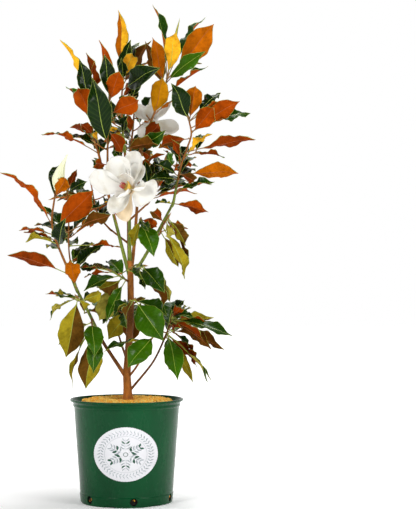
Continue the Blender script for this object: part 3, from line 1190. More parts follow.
def cut_from(obj, cutter):
    """Cuts one mesh from another for good, and removes the cutter."""
    modifier = obj.modifiers.new("cut", "BOOLEAN")
    modifier.operation = "DIFFERENCE"
    modifier.solver = "EXACT"
    modifier.object = cutter
    bpy.context.view_layer.update()
    mesh = bpy.data.meshes.new_from_object(obj.evaluated_get(bpy.context.evaluated_depsgraph_get()))
    if len(mesh.polygons) <= len(obj.data.polygons):
        raise RuntimeError(f"{obj.name} was not cut by {cutter.name}")
    obj.modifiers.clear()
    obj.data = mesh
    bpy.data.objects.remove(cutter)


def base_cutters():
    """Bars and blocks through the wall, for the drain holes and foot notches."""
    skin = Skin()
    half = np.array(NOTCH_SIZE) / 2
    for angle in HOLE_ANGLES:
        way = np.array([cos(angle), sin(angle), 0])
        centre = way * FOOT_RADIUS + [0, 0, HOLE_HEIGHT]
        skin.add(*tube(centre + way * np.linspace(-0.015, 0.015, 3)[:, None], HOLE_RADIUS, 28))
        between = angle + pi / HOLE_COUNT
        way = np.array([cos(between), sin(between), 0])
        side = np.array([-way[1], way[0], 0])
        centre = way * (FOOT_RADIUS + half[1] - 0.0060) + [0, 0, half[2] - 0.0010]
        ring = [side * half[0] * a + np.array([0, 0, half[2] * b]) for a, b in SQUARE]
        ends = centre - way * half[1], centre + way * half[1]
        skin.add(np.stack([end + ring for end in ends]), *ends)
    return skin.link("base_cutters")


def on_wall(x, z, proud):
    """Points this far proud of the pot's wall, at these places across the label."""
    radius = wall_radius(z) + proud
    depth = np.sqrt(radius ** 2 - x ** 2)
    turn = radians(LABEL_TURN)
    return np.stack([x * cos(turn) + depth * sin(turn), x * sin(turn) - depth * cos(turn), z], -1)


def on_label(across, rise, proud):
    """The same, at shares of the label's half sizes."""
    return on_wall(LABEL_HALF[0] * across, LABEL_HEIGHT + LABEL_HALF[1] * rise, proud)


def label_line(skin, rows, mark):
    rings = np.stack(rows, 1)
    skin.add(rings, rings[0].mean(0), rings[-1].mean(0), mark)


def label_band(skin, inner, outer, first, last, mark):
    """A raised line along the oval, between two shares of its size and two angles."""
    angle = np.radians(np.linspace(first, last, max(3, round(abs(last - first) / 3) + 1)))
    low, high = LABEL_THICK, LABEL_THICK + 0.00022
    label_line(skin, [on_label(share * np.cos(angle), share * np.sin(angle), proud) for share, proud in
                      ((inner, low), (inner, high), (outer, high), (outer, low))], mark)


def label_stroke(skin, start, end, width, bow, mark):
    """A raised lens-shaped stroke between two places, as shares of the half sizes."""
    start, end = np.array(start), np.array(end)
    share = np.linspace(0.02, 0.98, 11)[:, None]
    normal = np.array([-(end - start)[1], (end - start)[0]])
    line = start + (end - start) * share + normal * bow * np.sin(np.pi * share)
    half = unit(normal[None])[0] * width / 2 * np.sin(np.pi * share) ** 0.8
    label_line(skin, [on_label(*(line + half * offset).T, LABEL_THICK + proud) for offset, proud in
                      ((-1, 0), (0, 0.00026), (1, 0), (0, -0.0001))], mark)


def mulch_height(radius):
    """The mound's height at a radius."""
    edge = wall_radius(MIX_EDGE_HEIGHT) - WALL
    heaped = SEAT_HEIGHT + 0.8 * (MOUND_HEIGHT - SEAT_HEIGHT)
    return np.interp(radius, (SEAT_RADIUS, 0.045, MOUND_RADIUS, 0.108, 0.119, edge),
                     (SEAT_HEIGHT, heaped, MOUND_HEIGHT, 0.2540, 0.2440, 0.2405))


def chip_shape():
    """A twelve-cornered lump."""
    golden = (1 + 5 ** 0.5) / 2
    points = np.array([(0, a, b * golden) for a in (-1, 1) for b in (-1, 1)])
    points = np.concatenate([np.roll(points, turn, 1) for turn in range(3)]) / hypot(1, golden)
    near = [np.argsort(np.linalg.norm(points - point, axis=1), kind="stable")[1:6] for point in points]
    faces = [(i, j, k) for i in range(12) for j in near[i] for k in near[j] if i < j < k and k in near[i]]
    faces = [f if np.linalg.det(points[list(f)]) > 0 else f[::-1] for f in faces]
    return points, np.array(faces)


def add_chips(skin, centres, sizes, marks, rng):
    """Many small uneven lumps at once."""
    points, faces = chip_shape()
    count = len(centres)
    stretch = rng.uniform((0.8, 0.5, 0.35), (1.5, 0.9, 0.7), (count, 3))
    shapes = points[None] * stretch[:, None] * rng.uniform(0.82, 1.12, (count, 12, 1))
    turns = unit(rng.normal(size=(count, 1, 4)))
    aside = 2 * np.cross(turns[..., 1:], shapes)
    shapes = shapes + turns[..., :1] * aside + np.cross(turns[..., 1:], aside)
    shapes = shapes * sizes[:, None, None] + centres[:, None]
    offsets = (np.arange(count) * 12)[:, None, None]
    skin.add_faces(shapes.reshape(-1, 3), (faces[None] + offsets).reshape(-1, 3),
                   np.repeat(marks, len(faces)), np.zeros((count * 12, 2)))


# Finishes


def add_node(tree, kind, inputs=None, **settings):
    """A shader node with its settings, and its inputs as values or nodes' outputs."""
    node = tree.nodes.new("ShaderNode" + kind)
    for name, value in settings.items():
        setattr(node, name, value)
    for name, value in (inputs or {}).items():
        if isinstance(value, bpy.types.NodeSocket):
            tree.links.new(value, node.inputs[name])
        else:
            node.inputs[name].default_value = value
    return node


def new_finish(name, roughness, **sockets):
    """A material with its shader's own values set."""
    material = bpy.data.materials.new(name)
    material.use_nodes = True
    tree = material.node_tree
    shader = tree.nodes["Principled BSDF"]
    shader.inputs["Roughness"].default_value = roughness
    for socket, value in sockets.items():
        shader.inputs[socket.replace("_", " ")].default_value = value
    return material, tree, shader


def paint(tree, shader, colour):
    tree.links.new(colour, shader.inputs["Base Color"])


def places_of(tree, stretch=(1, 1, 1)):
    own = add_node(tree, "TexCoord").outputs["Object"]
    return add_node(tree, "Mapping", {"Vector": own, "Scale": stretch}).outputs[0]


def noise_at(tree, places, scale, detail=4.0, roughness=0.55):
    made = add_node(tree, "TexNoise",
                    {"Vector": places, "Scale": scale, "Detail": detail, "Roughness": roughness})
    return made.outputs["Fac"]


def maths(tree, operation, first, second=0.0):
    return add_node(tree, "Math", {0: first, 1: second}, operation=operation).outputs[0]


def times(tree, first, second):
    return maths(tree, "MULTIPLY", first, second)


def ramp(tree, share, stops):
    """Colours by a share, given as (place, colour) stops."""
    made = add_node(tree, "ValToRGB", {"Fac": share})
    elements = made.color_ramp.elements
    while len(elements) < len(stops):
        elements.new(0.5)
    for element, (place, colour) in zip(elements, stops):
        element.position = place
        element.color = (*colour, 1.0)
    return made.outputs["Color"]


def shaded(colour, factor):
    return tuple(min(1.0, value * factor) for value in colour)


def shades(tree, share, colour, *stops):
    """One colour's shades by a share, given as (place, factor) stops."""
    return ramp(tree, share, [(place, shaded(colour, factor)) for place, factor in stops])


def blended(tree, share, first, second):
    """A colour that goes from one to another by a share. Either may be plain values."""
    def value(colour):
        return colour if isinstance(colour, bpy.types.NodeSocket) else (*colour, 1.0)
    inputs = {"Factor": share, 6: value(first), 7: value(second)}
    return add_node(tree, "Mix", inputs, data_type="RGBA").outputs[2]


def spread_share(tree, share, low, high, first, last):
    """A share stretched from one range to another."""
    made = add_node(tree, "MapRange",
                    {"Value": share, "From Min": low, "From Max": high, "To Min": first, "To Max": last})
    return made.outputs[0]


def raised(tree, shader, height, distance, strength=1.0):
    bump = add_node(tree, "Bump", {"Height": height, "Distance": distance, "Strength": strength})
    tree.links.new(bump.outputs[0], shader.inputs["Normal"])


def vein_share(tree):
    """1 on a leaf's side veins and 0 between them, by its places along and across."""
    coordinates = add_node(tree, "UVMap", uv_map="leaf")
    split = add_node(tree, "SeparateXYZ", {0: coordinates.outputs[0]})
    across = maths(tree, "ABSOLUTE", maths(tree, "SUBTRACT", split.outputs[1], 0.5))
    phase = maths(tree, "SUBTRACT", times(tree, split.outputs[0], 12.0),
                  times(tree, across, 4.6))
    fold = times(tree, maths(tree, "PINGPONG", phase, 0.5), 2.0)
    return maths(tree, "POWER", fold, 7.0), fold


def upper_finish(key, colour, settings):
    """The glossy upper side of a leaf."""
    material, tree, shader = new_finish(f"leaf_upper_{key}", settings.gloss_roughness,
                                        Specular_IOR_Level=0.09, Coat_Weight=0.03, Coat_Roughness=0.12)
    places = places_of(tree)
    vein, fold = vein_share(tree)
    patches = noise_at(tree, places, 14.0, 3.0)
    base = shades(tree, patches, colour, (0.32, 0.70), (0.55, 1), (0.74, 1.35))
    pale = blended(tree, 0.5, colour, tint(150, 180, 70))
    base = blended(tree, times(tree, vein, 0.12), base, pale)
    paint(tree, shader, base)
    rough = spread_share(tree, noise_at(tree, places, 60.0), 0.3, 0.7,
                         settings.gloss_roughness * 0.8, settings.gloss_roughness * 1.4)
    tree.links.new(rough, shader.inputs["Roughness"])
    height = maths(tree, "ADD", times(tree, fold, -0.6), noise_at(tree, places, 30.0, 1.0))
    raised(tree, shader, height, 0.0006, 0.22)
    return material


def under_finish(key, colour, settings):
    """The felted underside of a leaf."""
    material, tree, shader = new_finish(f"leaf_under_{key}", settings.felt_roughness, Specular_IOR_Level=0.03)
    places = places_of(tree)
    vein, _ = vein_share(tree)
    patches = noise_at(tree, places, 42.0, 6.0, 0.65)
    base = shades(tree, patches, colour, (0.30, 0.50), (0.50, 1), (0.72, 1.40))
    grain = noise_at(tree, places, 700.0, 2.0)
    base = blended(tree, spread_share(tree, grain, 0.35, 0.65, 0.0, 0.30), base, shaded(colour, 0.55))
    base = blended(tree, times(tree, vein, 0.22), base, shaded(colour, 1.55))
    paint(tree, shader, base)
    height = maths(tree, "ADD", times(tree, vein, 1.2), grain)
    raised(tree, shader, height, 0.0004, 0.5)
    return material


def plain_grain(name, colour, roughness, scale, contrast=0.3, bump=0.0003):
    """A finish whose colour and height wander with fine noise."""
    material, tree, shader = new_finish(name, roughness)
    places = places_of(tree)
    share = noise_at(tree, places, scale, 5.0)
    paint(tree, shader, shades(tree, share, colour, (0.3, 1 - contrast), (0.52, 1), (0.75, 1 + contrast)))
    raised(tree, shader, noise_at(tree, places, scale * 3, 4.0), bump, 0.6)
    return material


def plain_grains(*rows):
    return [plain_grain(*row) for row in rows]


@functools.lru_cache(maxsize=None)
def foliage_finishes():
    """Every foliage piece's materials, in the order that marks count."""
    settings = bpy.context.scene.magnolia_leaves
    made = [upper_finish(key, tint(*colour), settings) for key, colour in UPPER_TONES.items()]
    made += [under_finish(key, tint(*colour), settings) for key, colour in UNDER_TONES.items()]
    return made + plain_grains(("leaf_rib_pale", settings.rib_colour, 0.45, 120, 0.15),
                               ("leaf_rib_warm", tint(150, 74, 14), 0.6, 120, 0.2),
                               ("leaf_rim", settings.rim_colour, 0.45, 120, 0.15))


@functools.lru_cache(maxsize=None)
def bark_finishes():
    """The boughs' brown bark, green young bark and the trunk's, with pale corky specks."""
    settings = bpy.context.scene.magnolia_wood
    made = []
    for name, colour, factor, streaks, dark in (("bough_brown", settings.bark_colour, 0.52, 1.0, 0.5),
                                                ("bark_green", settings.young_colour, 0.85, 0.6, 1.0),
                                                ("trunk_brown", settings.bark_colour, 0.90, 1.0, 0.2)):
        colour = shaded(tuple(colour), factor)
        material, tree, shader = new_finish(name, 0.62, Specular_IOR_Level=0.2)
        places = places_of(tree, (1, 1, 0.35))
        broad = noise_at(tree, places, 70.0, 5.0, 0.6)
        base = shades(tree, broad, colour, (0.30, 0.38), (0.45, 0.80), (0.58, 1.12), (0.72, 1.55))
        rise = add_node(tree, "SeparateXYZ", {0: places_of(tree)}).outputs[2]
        aged = spread_share(tree, maths(tree, "ABSOLUTE", maths(tree, "SUBTRACT", rise, AGED_HEIGHT)),
                            0.05, 0.13, 1.0, 0.0)
        base = blended(tree, times(tree, aged, 1 - dark), base, shaded(colour, 0.20))
        specks = add_node(tree, "TexVoronoi", {"Vector": places_of(tree), "Scale": 260.0})
        spot = spread_share(tree, specks.outputs["Distance"], 0.10, 0.22, 0.45 * streaks, 0.0)
        base = blended(tree, spot, base, shaded(colour, 2.1))
        paint(tree, shader, base)
        ridges = noise_at(tree, places, 240.0, 4.0)
        raised(tree, shader, maths(tree, "ADD", ridges, times(tree, spot, 0.8)), 0.0008, 0.8)
        made.append(material)
    return made


def petal_finish(name, colour, shadow):
    material, tree, shader = new_finish(name, 0.42, Subsurface_Weight=0.10, Subsurface_Scale=0.005,
                                        Specular_IOR_Level=0.3)
    shader.inputs["Subsurface Radius"].default_value = (1.0, 0.9, 0.7)
    places = places_of(tree)
    share = noise_at(tree, places, 26.0, 4.0)
    stops = ((0.34, shadow), (0.50, colour), (0.80, shaded(colour, 1.04)))
    paint(tree, shader, ramp(tree, share, stops))
    lines = noise_at(tree, places_of(tree, (1, 1, 0.25)), 220.0, 3.0)
    raised(tree, shader, lines, 0.0005, 0.35)
    return material


def pot_finish(settings):
    """Moulded green plastic: faint flow marks, a dusty bloom and fine scuffs."""
    colour = tuple(settings.plastic_colour)
    material, tree, shader = new_finish("pot_plastic", 0.26, Specular_IOR_Level=0.14)
    places = places_of(tree, (1, 1, 0.5))
    flow = noise_at(tree, places, 9.0, 5.0)
    base = shades(tree, flow, colour, (0.30, 0.72), (0.52, 1), (0.76, 1.35))
    dust = noise_at(tree, places, 38.0, 6.0, 0.7)
    base = blended(tree, spread_share(tree, dust, 0.55, 0.80, 0.0, 0.03), base, tint(110, 140, 110))
    scuff = add_node(tree, "TexVoronoi", {"Vector": places_of(tree, (1, 1, 6.0)), "Scale": 46.0},
                     feature="DISTANCE_TO_EDGE")
    line = spread_share(tree, scuff.outputs["Distance"], 0.0, 0.012, 0.03, 0.0)
    base = blended(tree, line, base, tint(150, 168, 148))
    paint(tree, shader, base)
    tree.links.new(spread_share(tree, dust, 0.35, 0.75, 0.20, 0.34), shader.inputs["Roughness"])
    raised(tree, shader, noise_at(tree, places_of(tree), 420.0, 3.0), 0.0002, 0.35)
    return material


# What a user would change


class MagnoliaPotSettings(bpy.types.PropertyGroup):
    plastic_colour: FloatVectorProperty(
        name="Plastic", description="Colour of the pot's plastic", subtype="COLOR", default=tint(2, 68, 34))
    label_colour: FloatVectorProperty(
        name="Label", description="Ground colour of the oval label", subtype="COLOR",
        default=tint(226, 226, 230))
    mulch_colour: FloatVectorProperty(
        name="Mulch", description="Main colour of the bark granules", subtype="COLOR",
        default=tint(255, 186, 50))
    granule_size: FloatProperty(
        name="Granule Size", description="Usual radius of a bark granule", subtype="DISTANCE", default=0.0024,
        min=0.0005, max=0.01)
    granule_count: IntProperty(
        name="Granules", description="How many bark granules lie on the pot", default=6600, min=100, max=9000)


class MagnoliaWoodSettings(bpy.types.PropertyGroup):
    bark_colour: FloatVectorProperty(
        name="Bark", description="Colour of the trunk and the older wood", subtype="COLOR",
        default=tint(186, 114, 42))
    young_colour: FloatVectorProperty(
        name="Young Bark", description="Colour of bark that is still green", subtype="COLOR",
        default=tint(124, 138, 52))
    relief: FloatProperty(
        name="Trunk Relief", description="Height of the ridges in the trunk's bark", subtype="DISTANCE",
        default=0.0003, min=0, max=0.002)


class MagnoliaLeafSettings(bpy.types.PropertyGroup):
    thickness: FloatProperty(
        name="Thickness", description="Thickness of a leaf between its ribs", subtype="DISTANCE",
        default=0.0007, min=0.0002, max=0.003)
    fold: FloatProperty(
        name="Fold", description="How far a leaf's halves fold up from its midrib", subtype="FACTOR",
        default=0.46, min=0, max=1)
    wave: FloatProperty(
        name="Edge Wave", description="Height of the waves along a leaf's edge", subtype="DISTANCE",
        default=0.0056, min=0, max=0.02)
    rib_width: FloatProperty(
        name="Midrib Width", description="Width of the pale midrib near the stalk", subtype="DISTANCE",
        default=0.0012, min=0, max=0.01)
    rim_width: FloatProperty(
        name="Rim Width", description="Width of the pale rim round a leaf", subtype="DISTANCE",
        default=0.0008, min=0, max=0.005)
    gloss_roughness: FloatProperty(
        name="Upper Roughness", description="Roughness of the glossy upper side", subtype="FACTOR",
        default=0.26, min=0, max=1)
    felt_roughness: FloatProperty(
        name="Underside Roughness", description="Roughness of the felted underside", subtype="FACTOR",
        default=0.72, min=0, max=1)
    rib_colour: FloatVectorProperty(
        name="Midrib", description="Colour of the midrib", subtype="COLOR", default=tint(152, 172, 60))
    rim_colour: FloatVectorProperty(
        name="Rim", description="Colour of a leaf's thin rim", subtype="COLOR", default=tint(130, 142, 44))


class MagnoliaFlowerSettings(bpy.types.PropertyGroup):
    petal_colour: FloatVectorProperty(
        name="Tepals", description="Colour of the tepals", subtype="COLOR", default=tint(229, 227, 220))
    stained_colour: FloatVectorProperty(
        name="Tepal Foot", description="Colour near the foot of a tepal", subtype="COLOR",
        default=tint(232, 208, 172))
    petal_thickness: FloatProperty(
        name="Tepal Thickness", description="Thickness of a tepal", subtype="DISTANCE", default=0.0012,
        min=0.0003, max=0.004)
    petal_wave: FloatProperty(
        name="Tepal Wave", description="Height of the waves along a tepal's edge", subtype="DISTANCE",
        default=0.0022, min=0, max=0.02)
    stained: FloatProperty(
        name="Stained Share", description="Share of a tepal that has the foot's colour", subtype="FACTOR",
        default=0.14, min=0, max=1)


class MagnoliaStageSettings(bpy.types.PropertyGroup):
    camera_place: FloatVectorProperty(
        name="Camera", description="Where the camera stands", subtype="TRANSLATION",
        default=(VIEW_ACROSS * CM, -VIEW_DISTANCE * CM, VIEW_HEIGHT * CM))
    camera_rise: FloatProperty(
        name="Camera Rise", description="How far above the camera's own height it looks, at the plant",
        subtype="DISTANCE", default=0.08375)
    lens: FloatProperty(
        name="Lens", description="Focal length in millimetres on a 36 mm frame", default=96.2, min=10,
        max=300)
    floor_size: FloatProperty(
        name="Floor Size", description="Width of the pale floor", subtype="DISTANCE", default=30.0, min=1)
    floor_glow: FloatProperty(
        name="Floor Glow", description="Light that the paper behind the plant gives", default=0.9, min=0)
    sky: FloatProperty(
        name="Surrounding Light", description="Strength of the white surroundings", default=1.0, min=0, max=5)


# Operators


class MagnoliaOperator:
    bl_options = {"REGISTER", "UNDO"}


class MAGNOLIA_OT_stage(MagnoliaOperator, bpy.types.Operator):
    """Set the pale floor, the soft studio light and the camera"""

    bl_idname = "magnolia.stage"
    bl_label = "Stage"

    def execute(self, context):
        settings = context.scene.magnolia_stage
        make_floor(settings)
        make_surroundings(context, settings)
        for name, place, width, watts in (
            ("key_light", (-1.7, -2.3, 2.0), 0.9, 44.0),
            ("fill_light", (2.1, -1.7, 1.5), 0.8, 33.0),
            ("top_light", (0.3, 0.4, 2.8), 1.2, 54.0),
        ):
            light = bpy.data.lights.new(name, "AREA")
            light.shape, light.size, light.energy = "DISK", width, watts
            stand(name, light, place, (0, 0, 0.65))
        make_camera(context.scene, settings)
        return {"FINISHED"}


def make_floor(settings):
    skin = Skin()
    ring = np.array([(*corner, 0) for corner in SQUARE]) * settings.floor_size / 2
    skin.add(np.stack([ring, ring - [0, 0, 0.05]]), (0, 0, 0), (0, 0, -0.05))
    floor = skin.link("studio_floor", [floor_finish(settings)])


def floor_finish(settings):
    """White paper, lit from below away from the plant."""
    material, tree, shader = new_finish("floor_paper", 0.9, Specular_IOR_Level=0.2)
    places = places_of(tree)
    grain = noise_at(tree, places, 40.0, 4.0)
    paint(tree, shader, ramp(tree, grain, ((0.3, (0.93,) * 3), (0.7, (0.96,) * 3))))
    away = add_node(tree, "VectorMath", {0: places}, operation="LENGTH").outputs["Value"]
    glow = spread_share(tree, away, 0.5, 2.4, 0.12, settings.floor_glow)
    shader.inputs["Emission Color"].default_value = (1, 1, 1, 1)
    tree.links.new(glow, shader.inputs["Emission Strength"])
    raised(tree, shader, grain, 0.0001)
    return material


def make_surroundings(context, settings):
    """A wall of light behind the plant and a white band round the dimmer horizon."""
    world = bpy.data.worlds.new("studio")
    context.scene.world = world
    world.use_nodes = True
    tree = world.node_tree
    direction = add_node(tree, "TexCoord").outputs["Generated"]
    split = add_node(tree, "SeparateXYZ", {0: direction})
    share = spread_share(tree, split.outputs[1], -1.0, 1.0, 0.0, 1.0)
    greys = ((0.0, 0.10), (0.5, 0.18), (0.80, 0.46), (0.90, 1.0))
    wall = ramp(tree, share, [(place, (grey,) * 3) for place, grey in greys])
    band = spread_share(tree, split.outputs[2], 0.06, 0.20, 1.0, 0.0)
    light = times(tree, maths(tree, "MAXIMUM", wall, band), settings.sky)
    background = tree.nodes["Background"]
    background.inputs["Color"].default_value = (1, 1, 1, 1)
    tree.links.new(light, background.inputs["Strength"])


def stand(name, data, place, target):
    """Puts a lamp or the camera at a place and points it at another."""
    obj = bpy.data.objects.new(name, data)
    obj.location = place
    obj.rotation_euler = (Vector(target) - Vector(place)).to_track_quat("-Z", "Y").to_euler()
    bpy.context.scene.collection.objects.link(obj)
    return obj


def make_camera(scene, settings):
    data = bpy.data.cameras.new("camera")
    data.sensor_fit = "AUTO"
    data.sensor_width = 36.0
    data.lens = settings.lens
    x, _, z = settings.camera_place
    scene.camera = stand("camera", data, settings.camera_place, (x, 0, z + settings.camera_rise))
    scene.view_settings.view_transform = "Standard"


class MAGNOLIA_OT_pot(MagnoliaOperator, bpy.types.Operator):
    """Turn the nursery pot, with its rolled lip, its ridge, its drain holes and the notches in its foot"""

    bl_idname = "magnolia.pot"
    bl_label = "Pot"

    def execute(self, context):
        skin = Skin()
        skin.add(*turned(pot_profile(), 160))
        pot = skin.build("nursery_pot", [pot_finish(context.scene.magnolia_pot)], ["pot"])
        cut_from(pot, base_cutters())
        pot.data.shade_smooth()
        pot.data.set_sharp_from_angle(angle=radians(38))
        return {"FINISHED"}


def add_border(skin):
    """A thin inner rule, and outside it a wreath of small paired leaflets."""
    for start in range(0, 360, 60):
        label_band(skin, 0.665, 0.673, start, start + 60, 1)
    for i in range(LEAFLETS):
        angle = 2 * pi * (i + 0.5) / LEAFLETS
        foot = (0.80 * cos(angle), 0.80 * sin(angle))
        for reach in (0.70, 0.91):
            end = (reach * cos(angle + 0.10), reach * sin(angle + 0.10))
            label_stroke(skin, foot, end, 0.036, 0.12 if reach > 0.8 else -0.12, 1)


def add_sprigs(skin):
    """Six plain sprigs, each a bowed stem with paired leaflets, round a small ring."""
    for number in range(6):
        turn = radians(30 + 60 * number)
        way = np.array([cos(turn), sin(turn)])
        side = np.array([-way[1], way[0]])
        label_stroke(skin, way * 0.10, way * 0.62, 0.014, 0.04, 1)
        for step in range(4):
            foot = way * (0.20 + 0.10 * step)
            for sign in (-1, 1):
                end = foot + way * 0.11 + side * sign * (0.17 - 0.02 * step)
                green = (step + number) % 3 == 0
                label_stroke(skin, foot, end, 0.085 if green else 0.050, 0.10 * sign, 2 if green else 1)
    for start in range(0, 360, 90):
        label_band(skin, 0.060, 0.078, start, start + 90, 2)


class MAGNOLIA_OT_label(MagnoliaOperator, bpy.types.Operator):
    """Put the oval label on the wall, with a ruled border and a plain sprig pattern"""

    bl_idname = "magnolia.label"
    bl_label = "Label"

    def execute(self, context):
        skin = Skin()
        angle = circle(LABEL_POINTS)
        edge = 1 + 0.009 * np.abs(np.sin(SCALLOPS * angle))
        face = LABEL_THICK + 0.0001
        rows = []
        for share, proud in ((0.3, 0), (0.7, 0), (1, 0), (1, LABEL_THICK), (0.985, face), (0.8, face),
                             (0.55, face), (0.3, face)):
            reach = share * (edge if share > 0.9 else 1)
            rows.append(on_label(reach * np.cos(angle), reach * np.sin(angle), proud))
        skin.add(np.stack(rows), on_label(0, 0, 0), on_label(0, 0, face), 0)
        add_border(skin)
        add_sprigs(skin)
        finishes = plain_grains(
            ("label_ground", context.scene.magnolia_pot.label_colour, 0.5, 60, 0.04, 0.0001),
            ("label_grey", tint(160, 170, 174), 0.5, 90, 0.10, 0.0001),
            ("label_green", tint(24, 84, 60), 0.5, 90, 0.20, 0.0001))
        skin.build("oval_label", finishes, ["pot_label"])
        return {"FINISHED"}


def fill_pot(colour):
    """The mix itself: dark under the golden top."""
    inner_low = wall_radius(BAND_TOP) - WALL - 0.0002
    edge = wall_radius(MIX_EDGE_HEIGHT) - WALL - 0.0002
    top = [(r, mulch_height(r) - 0.0034) for r in np.linspace(0, edge - 0.001, 26)]
    low = [(edge, 0.2385), (inner_low, BAND_TOP)]
    low += [(inner_low - 0.0012, z) for z in np.linspace(BAND_TOP - 0.001, FLOOR + 0.002, 14)]
    profile = top + low + [(0, FLOOR + 0.0004)]

    def uneven(radius, height, angle):
        bumps = np.sin(17 * angle + height * 900) + np.sin(31 * angle - height * 1400 + 1)
        deep = np.where(height < BAND_TOP, 1.0, 0.0)
        return radius - deep * (0.0012 + 0.0005 * bumps), height

    skin = Skin()
    rings, start, end = turned(profile, 96, uneven)
    marks = np.where(np.arange(len(rings)) < len(top) - 1, 0, 1)[:, None]
    skin.add(rings, start, end, marks)
    finishes = plain_grains(("mulch_bed", shaded(colour, 0.55), 0.9, 200, 0.5, 0.001),
                            ("potting_soil", tint(14, 9, 6), 0.95, 160, 0.5, 0.001))
    skin.build("potting_mix_fill", finishes, ["potting_mix"])


def strew(settings):
    """Granules over the mound, thrown evenly, and a few chips in the drain holes."""
    rng = np.random.default_rng(MULCH_SEED)
    count = settings.granule_count
    edge = wall_radius(MIX_EDGE_HEIGHT) - WALL - 0.0075
    radius = edge * np.sqrt(rng.uniform(0.012, 1, count))
    angle = rng.uniform(0, TURN, count)
    sizes = settings.granule_size * rng.uniform(0.55, 1.35, count)
    lumps = 0.00045 * np.sin(radius * 160 + 3 * np.cos(angle * 3)) + 0.0005 * np.sin(angle * 7 + radius * 90)
    height = mulch_height(radius) + lumps + rng.uniform(-0.0044, -0.0014, count)
    centres = np.stack([radius * np.cos(angle), radius * np.sin(angle), height], -1)
    marks = rng.choice(4, count, p=(0.34, 0.46, 0.18, 0.02))
    skin = Skin()
    add_chips(skin, centres, sizes, marks, rng)
    add_hole_chips(skin, rng)
    finishes = plain_grains(("granule_gold", settings.mulch_colour, 0.8, 500, 0.25, 0.0004),
                            ("granule_pale", tint(255, 218, 112), 0.8, 500, 0.2, 0.0004),
                            ("granule_orange", tint(252, 162, 38), 0.8, 500, 0.3, 0.0004),
                            ("granule_brown", tint(156, 90, 30), 0.85, 500, 0.3, 0.0004))
    skin.build("mulch_granules", finishes)


def add_hole_chips(skin, rng):
    centres, sizes, marks = [], [], []
    for angle in HOLE_ANGLES:
        for _ in range(5):
            turn = angle + rng.uniform(-0.050, 0.050)
            radius = wall_radius(BAND_TOP) - WALL - rng.uniform(0.0008, 0.0026)
            centres.append((radius * cos(turn), radius * sin(turn), rng.uniform(0.009, 0.019)))
            sizes.append(rng.uniform(0.0014, 0.0032))
            marks.append(rng.choice((0, 2, 2, 3)))
    add_chips(skin, np.array(centres), np.array(sizes), np.array(marks), rng)


class MAGNOLIA_OT_mulch(MagnoliaOperator, bpy.types.Operator):
    """Fill the pot with its mix and cover it with golden bark granules"""

    bl_idname = "magnolia.mulch"
    bl_label = "Mulch"

    def execute(self, context):
        settings = context.scene.magnolia_pot
        fill_pot(tuple(settings.mulch_colour))
        strew(settings)
        return {"FINISHED"}


def clothe_trunk(axis, radii, relief):
    path, *_ = limb_path(axis, radii, 0.0018)
    heights = [placed(*p).z for p in TRUNK_AXIS]
    radii = smoothed(np.interp(path[:, 2], heights, TRUNK_RADII) * MM, 7)
    angle = circle(TRUNK_SIDES)[None]
    flare = np.exp(-(path[:, 2] - path[0, 2]) / 0.008)[:, None]
    surface = bark_radii(path, radii, TRUNK_SIDES, relief, TRUNK_SEED, 0.034)
    surface = surface + flare * 0.0016 * (np.sin(5 * angle + 0.6) + 0.4 * np.sin(3 * angle))
    skin = Skin()
    skin.add(*tube(path, surface, TRUNK_SIDES), 0)
    skin.build("trunk_bark", bark_finishes()[2:], ["trunk"])


class MAGNOLIA_OT_bark(MagnoliaOperator, bpy.types.Operator):
    """Clothe the trunk and the boughs in bark, with furrows, scars and swollen forks"""

    bl_idname = "magnolia.bark"
    bl_label = "Trunk and Boughs"

    def execute(self, context):
        limbs = crown()[0]
        clothe_trunk(*limbs["trunk"], context.scene.magnolia_wood.relief)
        skin = Skin()
        boughs = [name for name in limbs if name != "trunk"]
        for number, name in enumerate(boughs):
            back = SUNK if BOUGHS[name][0].startswith("tip:") else 0.0
            add_limb(skin, name, *limbs[name], BOUGH_SEED + number, BOUGH_SIDES, back)
        skin.build("bough_bark", bark_finishes()[:2], boughs)
        return {"FINISHED"}


def add_shoot_bud(skin, axis, radii):
    """The downy pointed bud at the end of a shoot."""
    way = np.array((axis[-1] - axis[-2]).normalized())
    share = np.linspace(0, 1, 10)
    path = np.array(axis[-1]) + way * (share * 0.017 - 0.001)[:, None]
    swell = 1.15 + 0.5 * np.sin(np.pi * np.clip(share * 1.3, 0, 1))
    skin.add(*tube(path, radii[-1] * swell * (1 - share ** 2.2) + 0.0002, 10), 4)


def add_axil_bud(skin, leaf, stem_radius):
    """The small bud between a leaf's stalk and the twig."""
    root, tip = np.array(leaf[0]), np.array(leaf[1])
    way = unit((tip - root)[None])[0]
    up = unit((np.array((0, 0, 1.0)) - way * way[2])[None])[0]
    start = root + way * stem_radius * 0.9 + up * 0.0006
    share = np.linspace(0, 1, 6)
    path = start + (way * 0.45 + up * 0.8) * (share * 0.0045)[:, None]
    skin.add(*tube(path, 0.0012 * np.sqrt(np.clip(1 - share ** 2, 0.02, 1)), 7), 4)


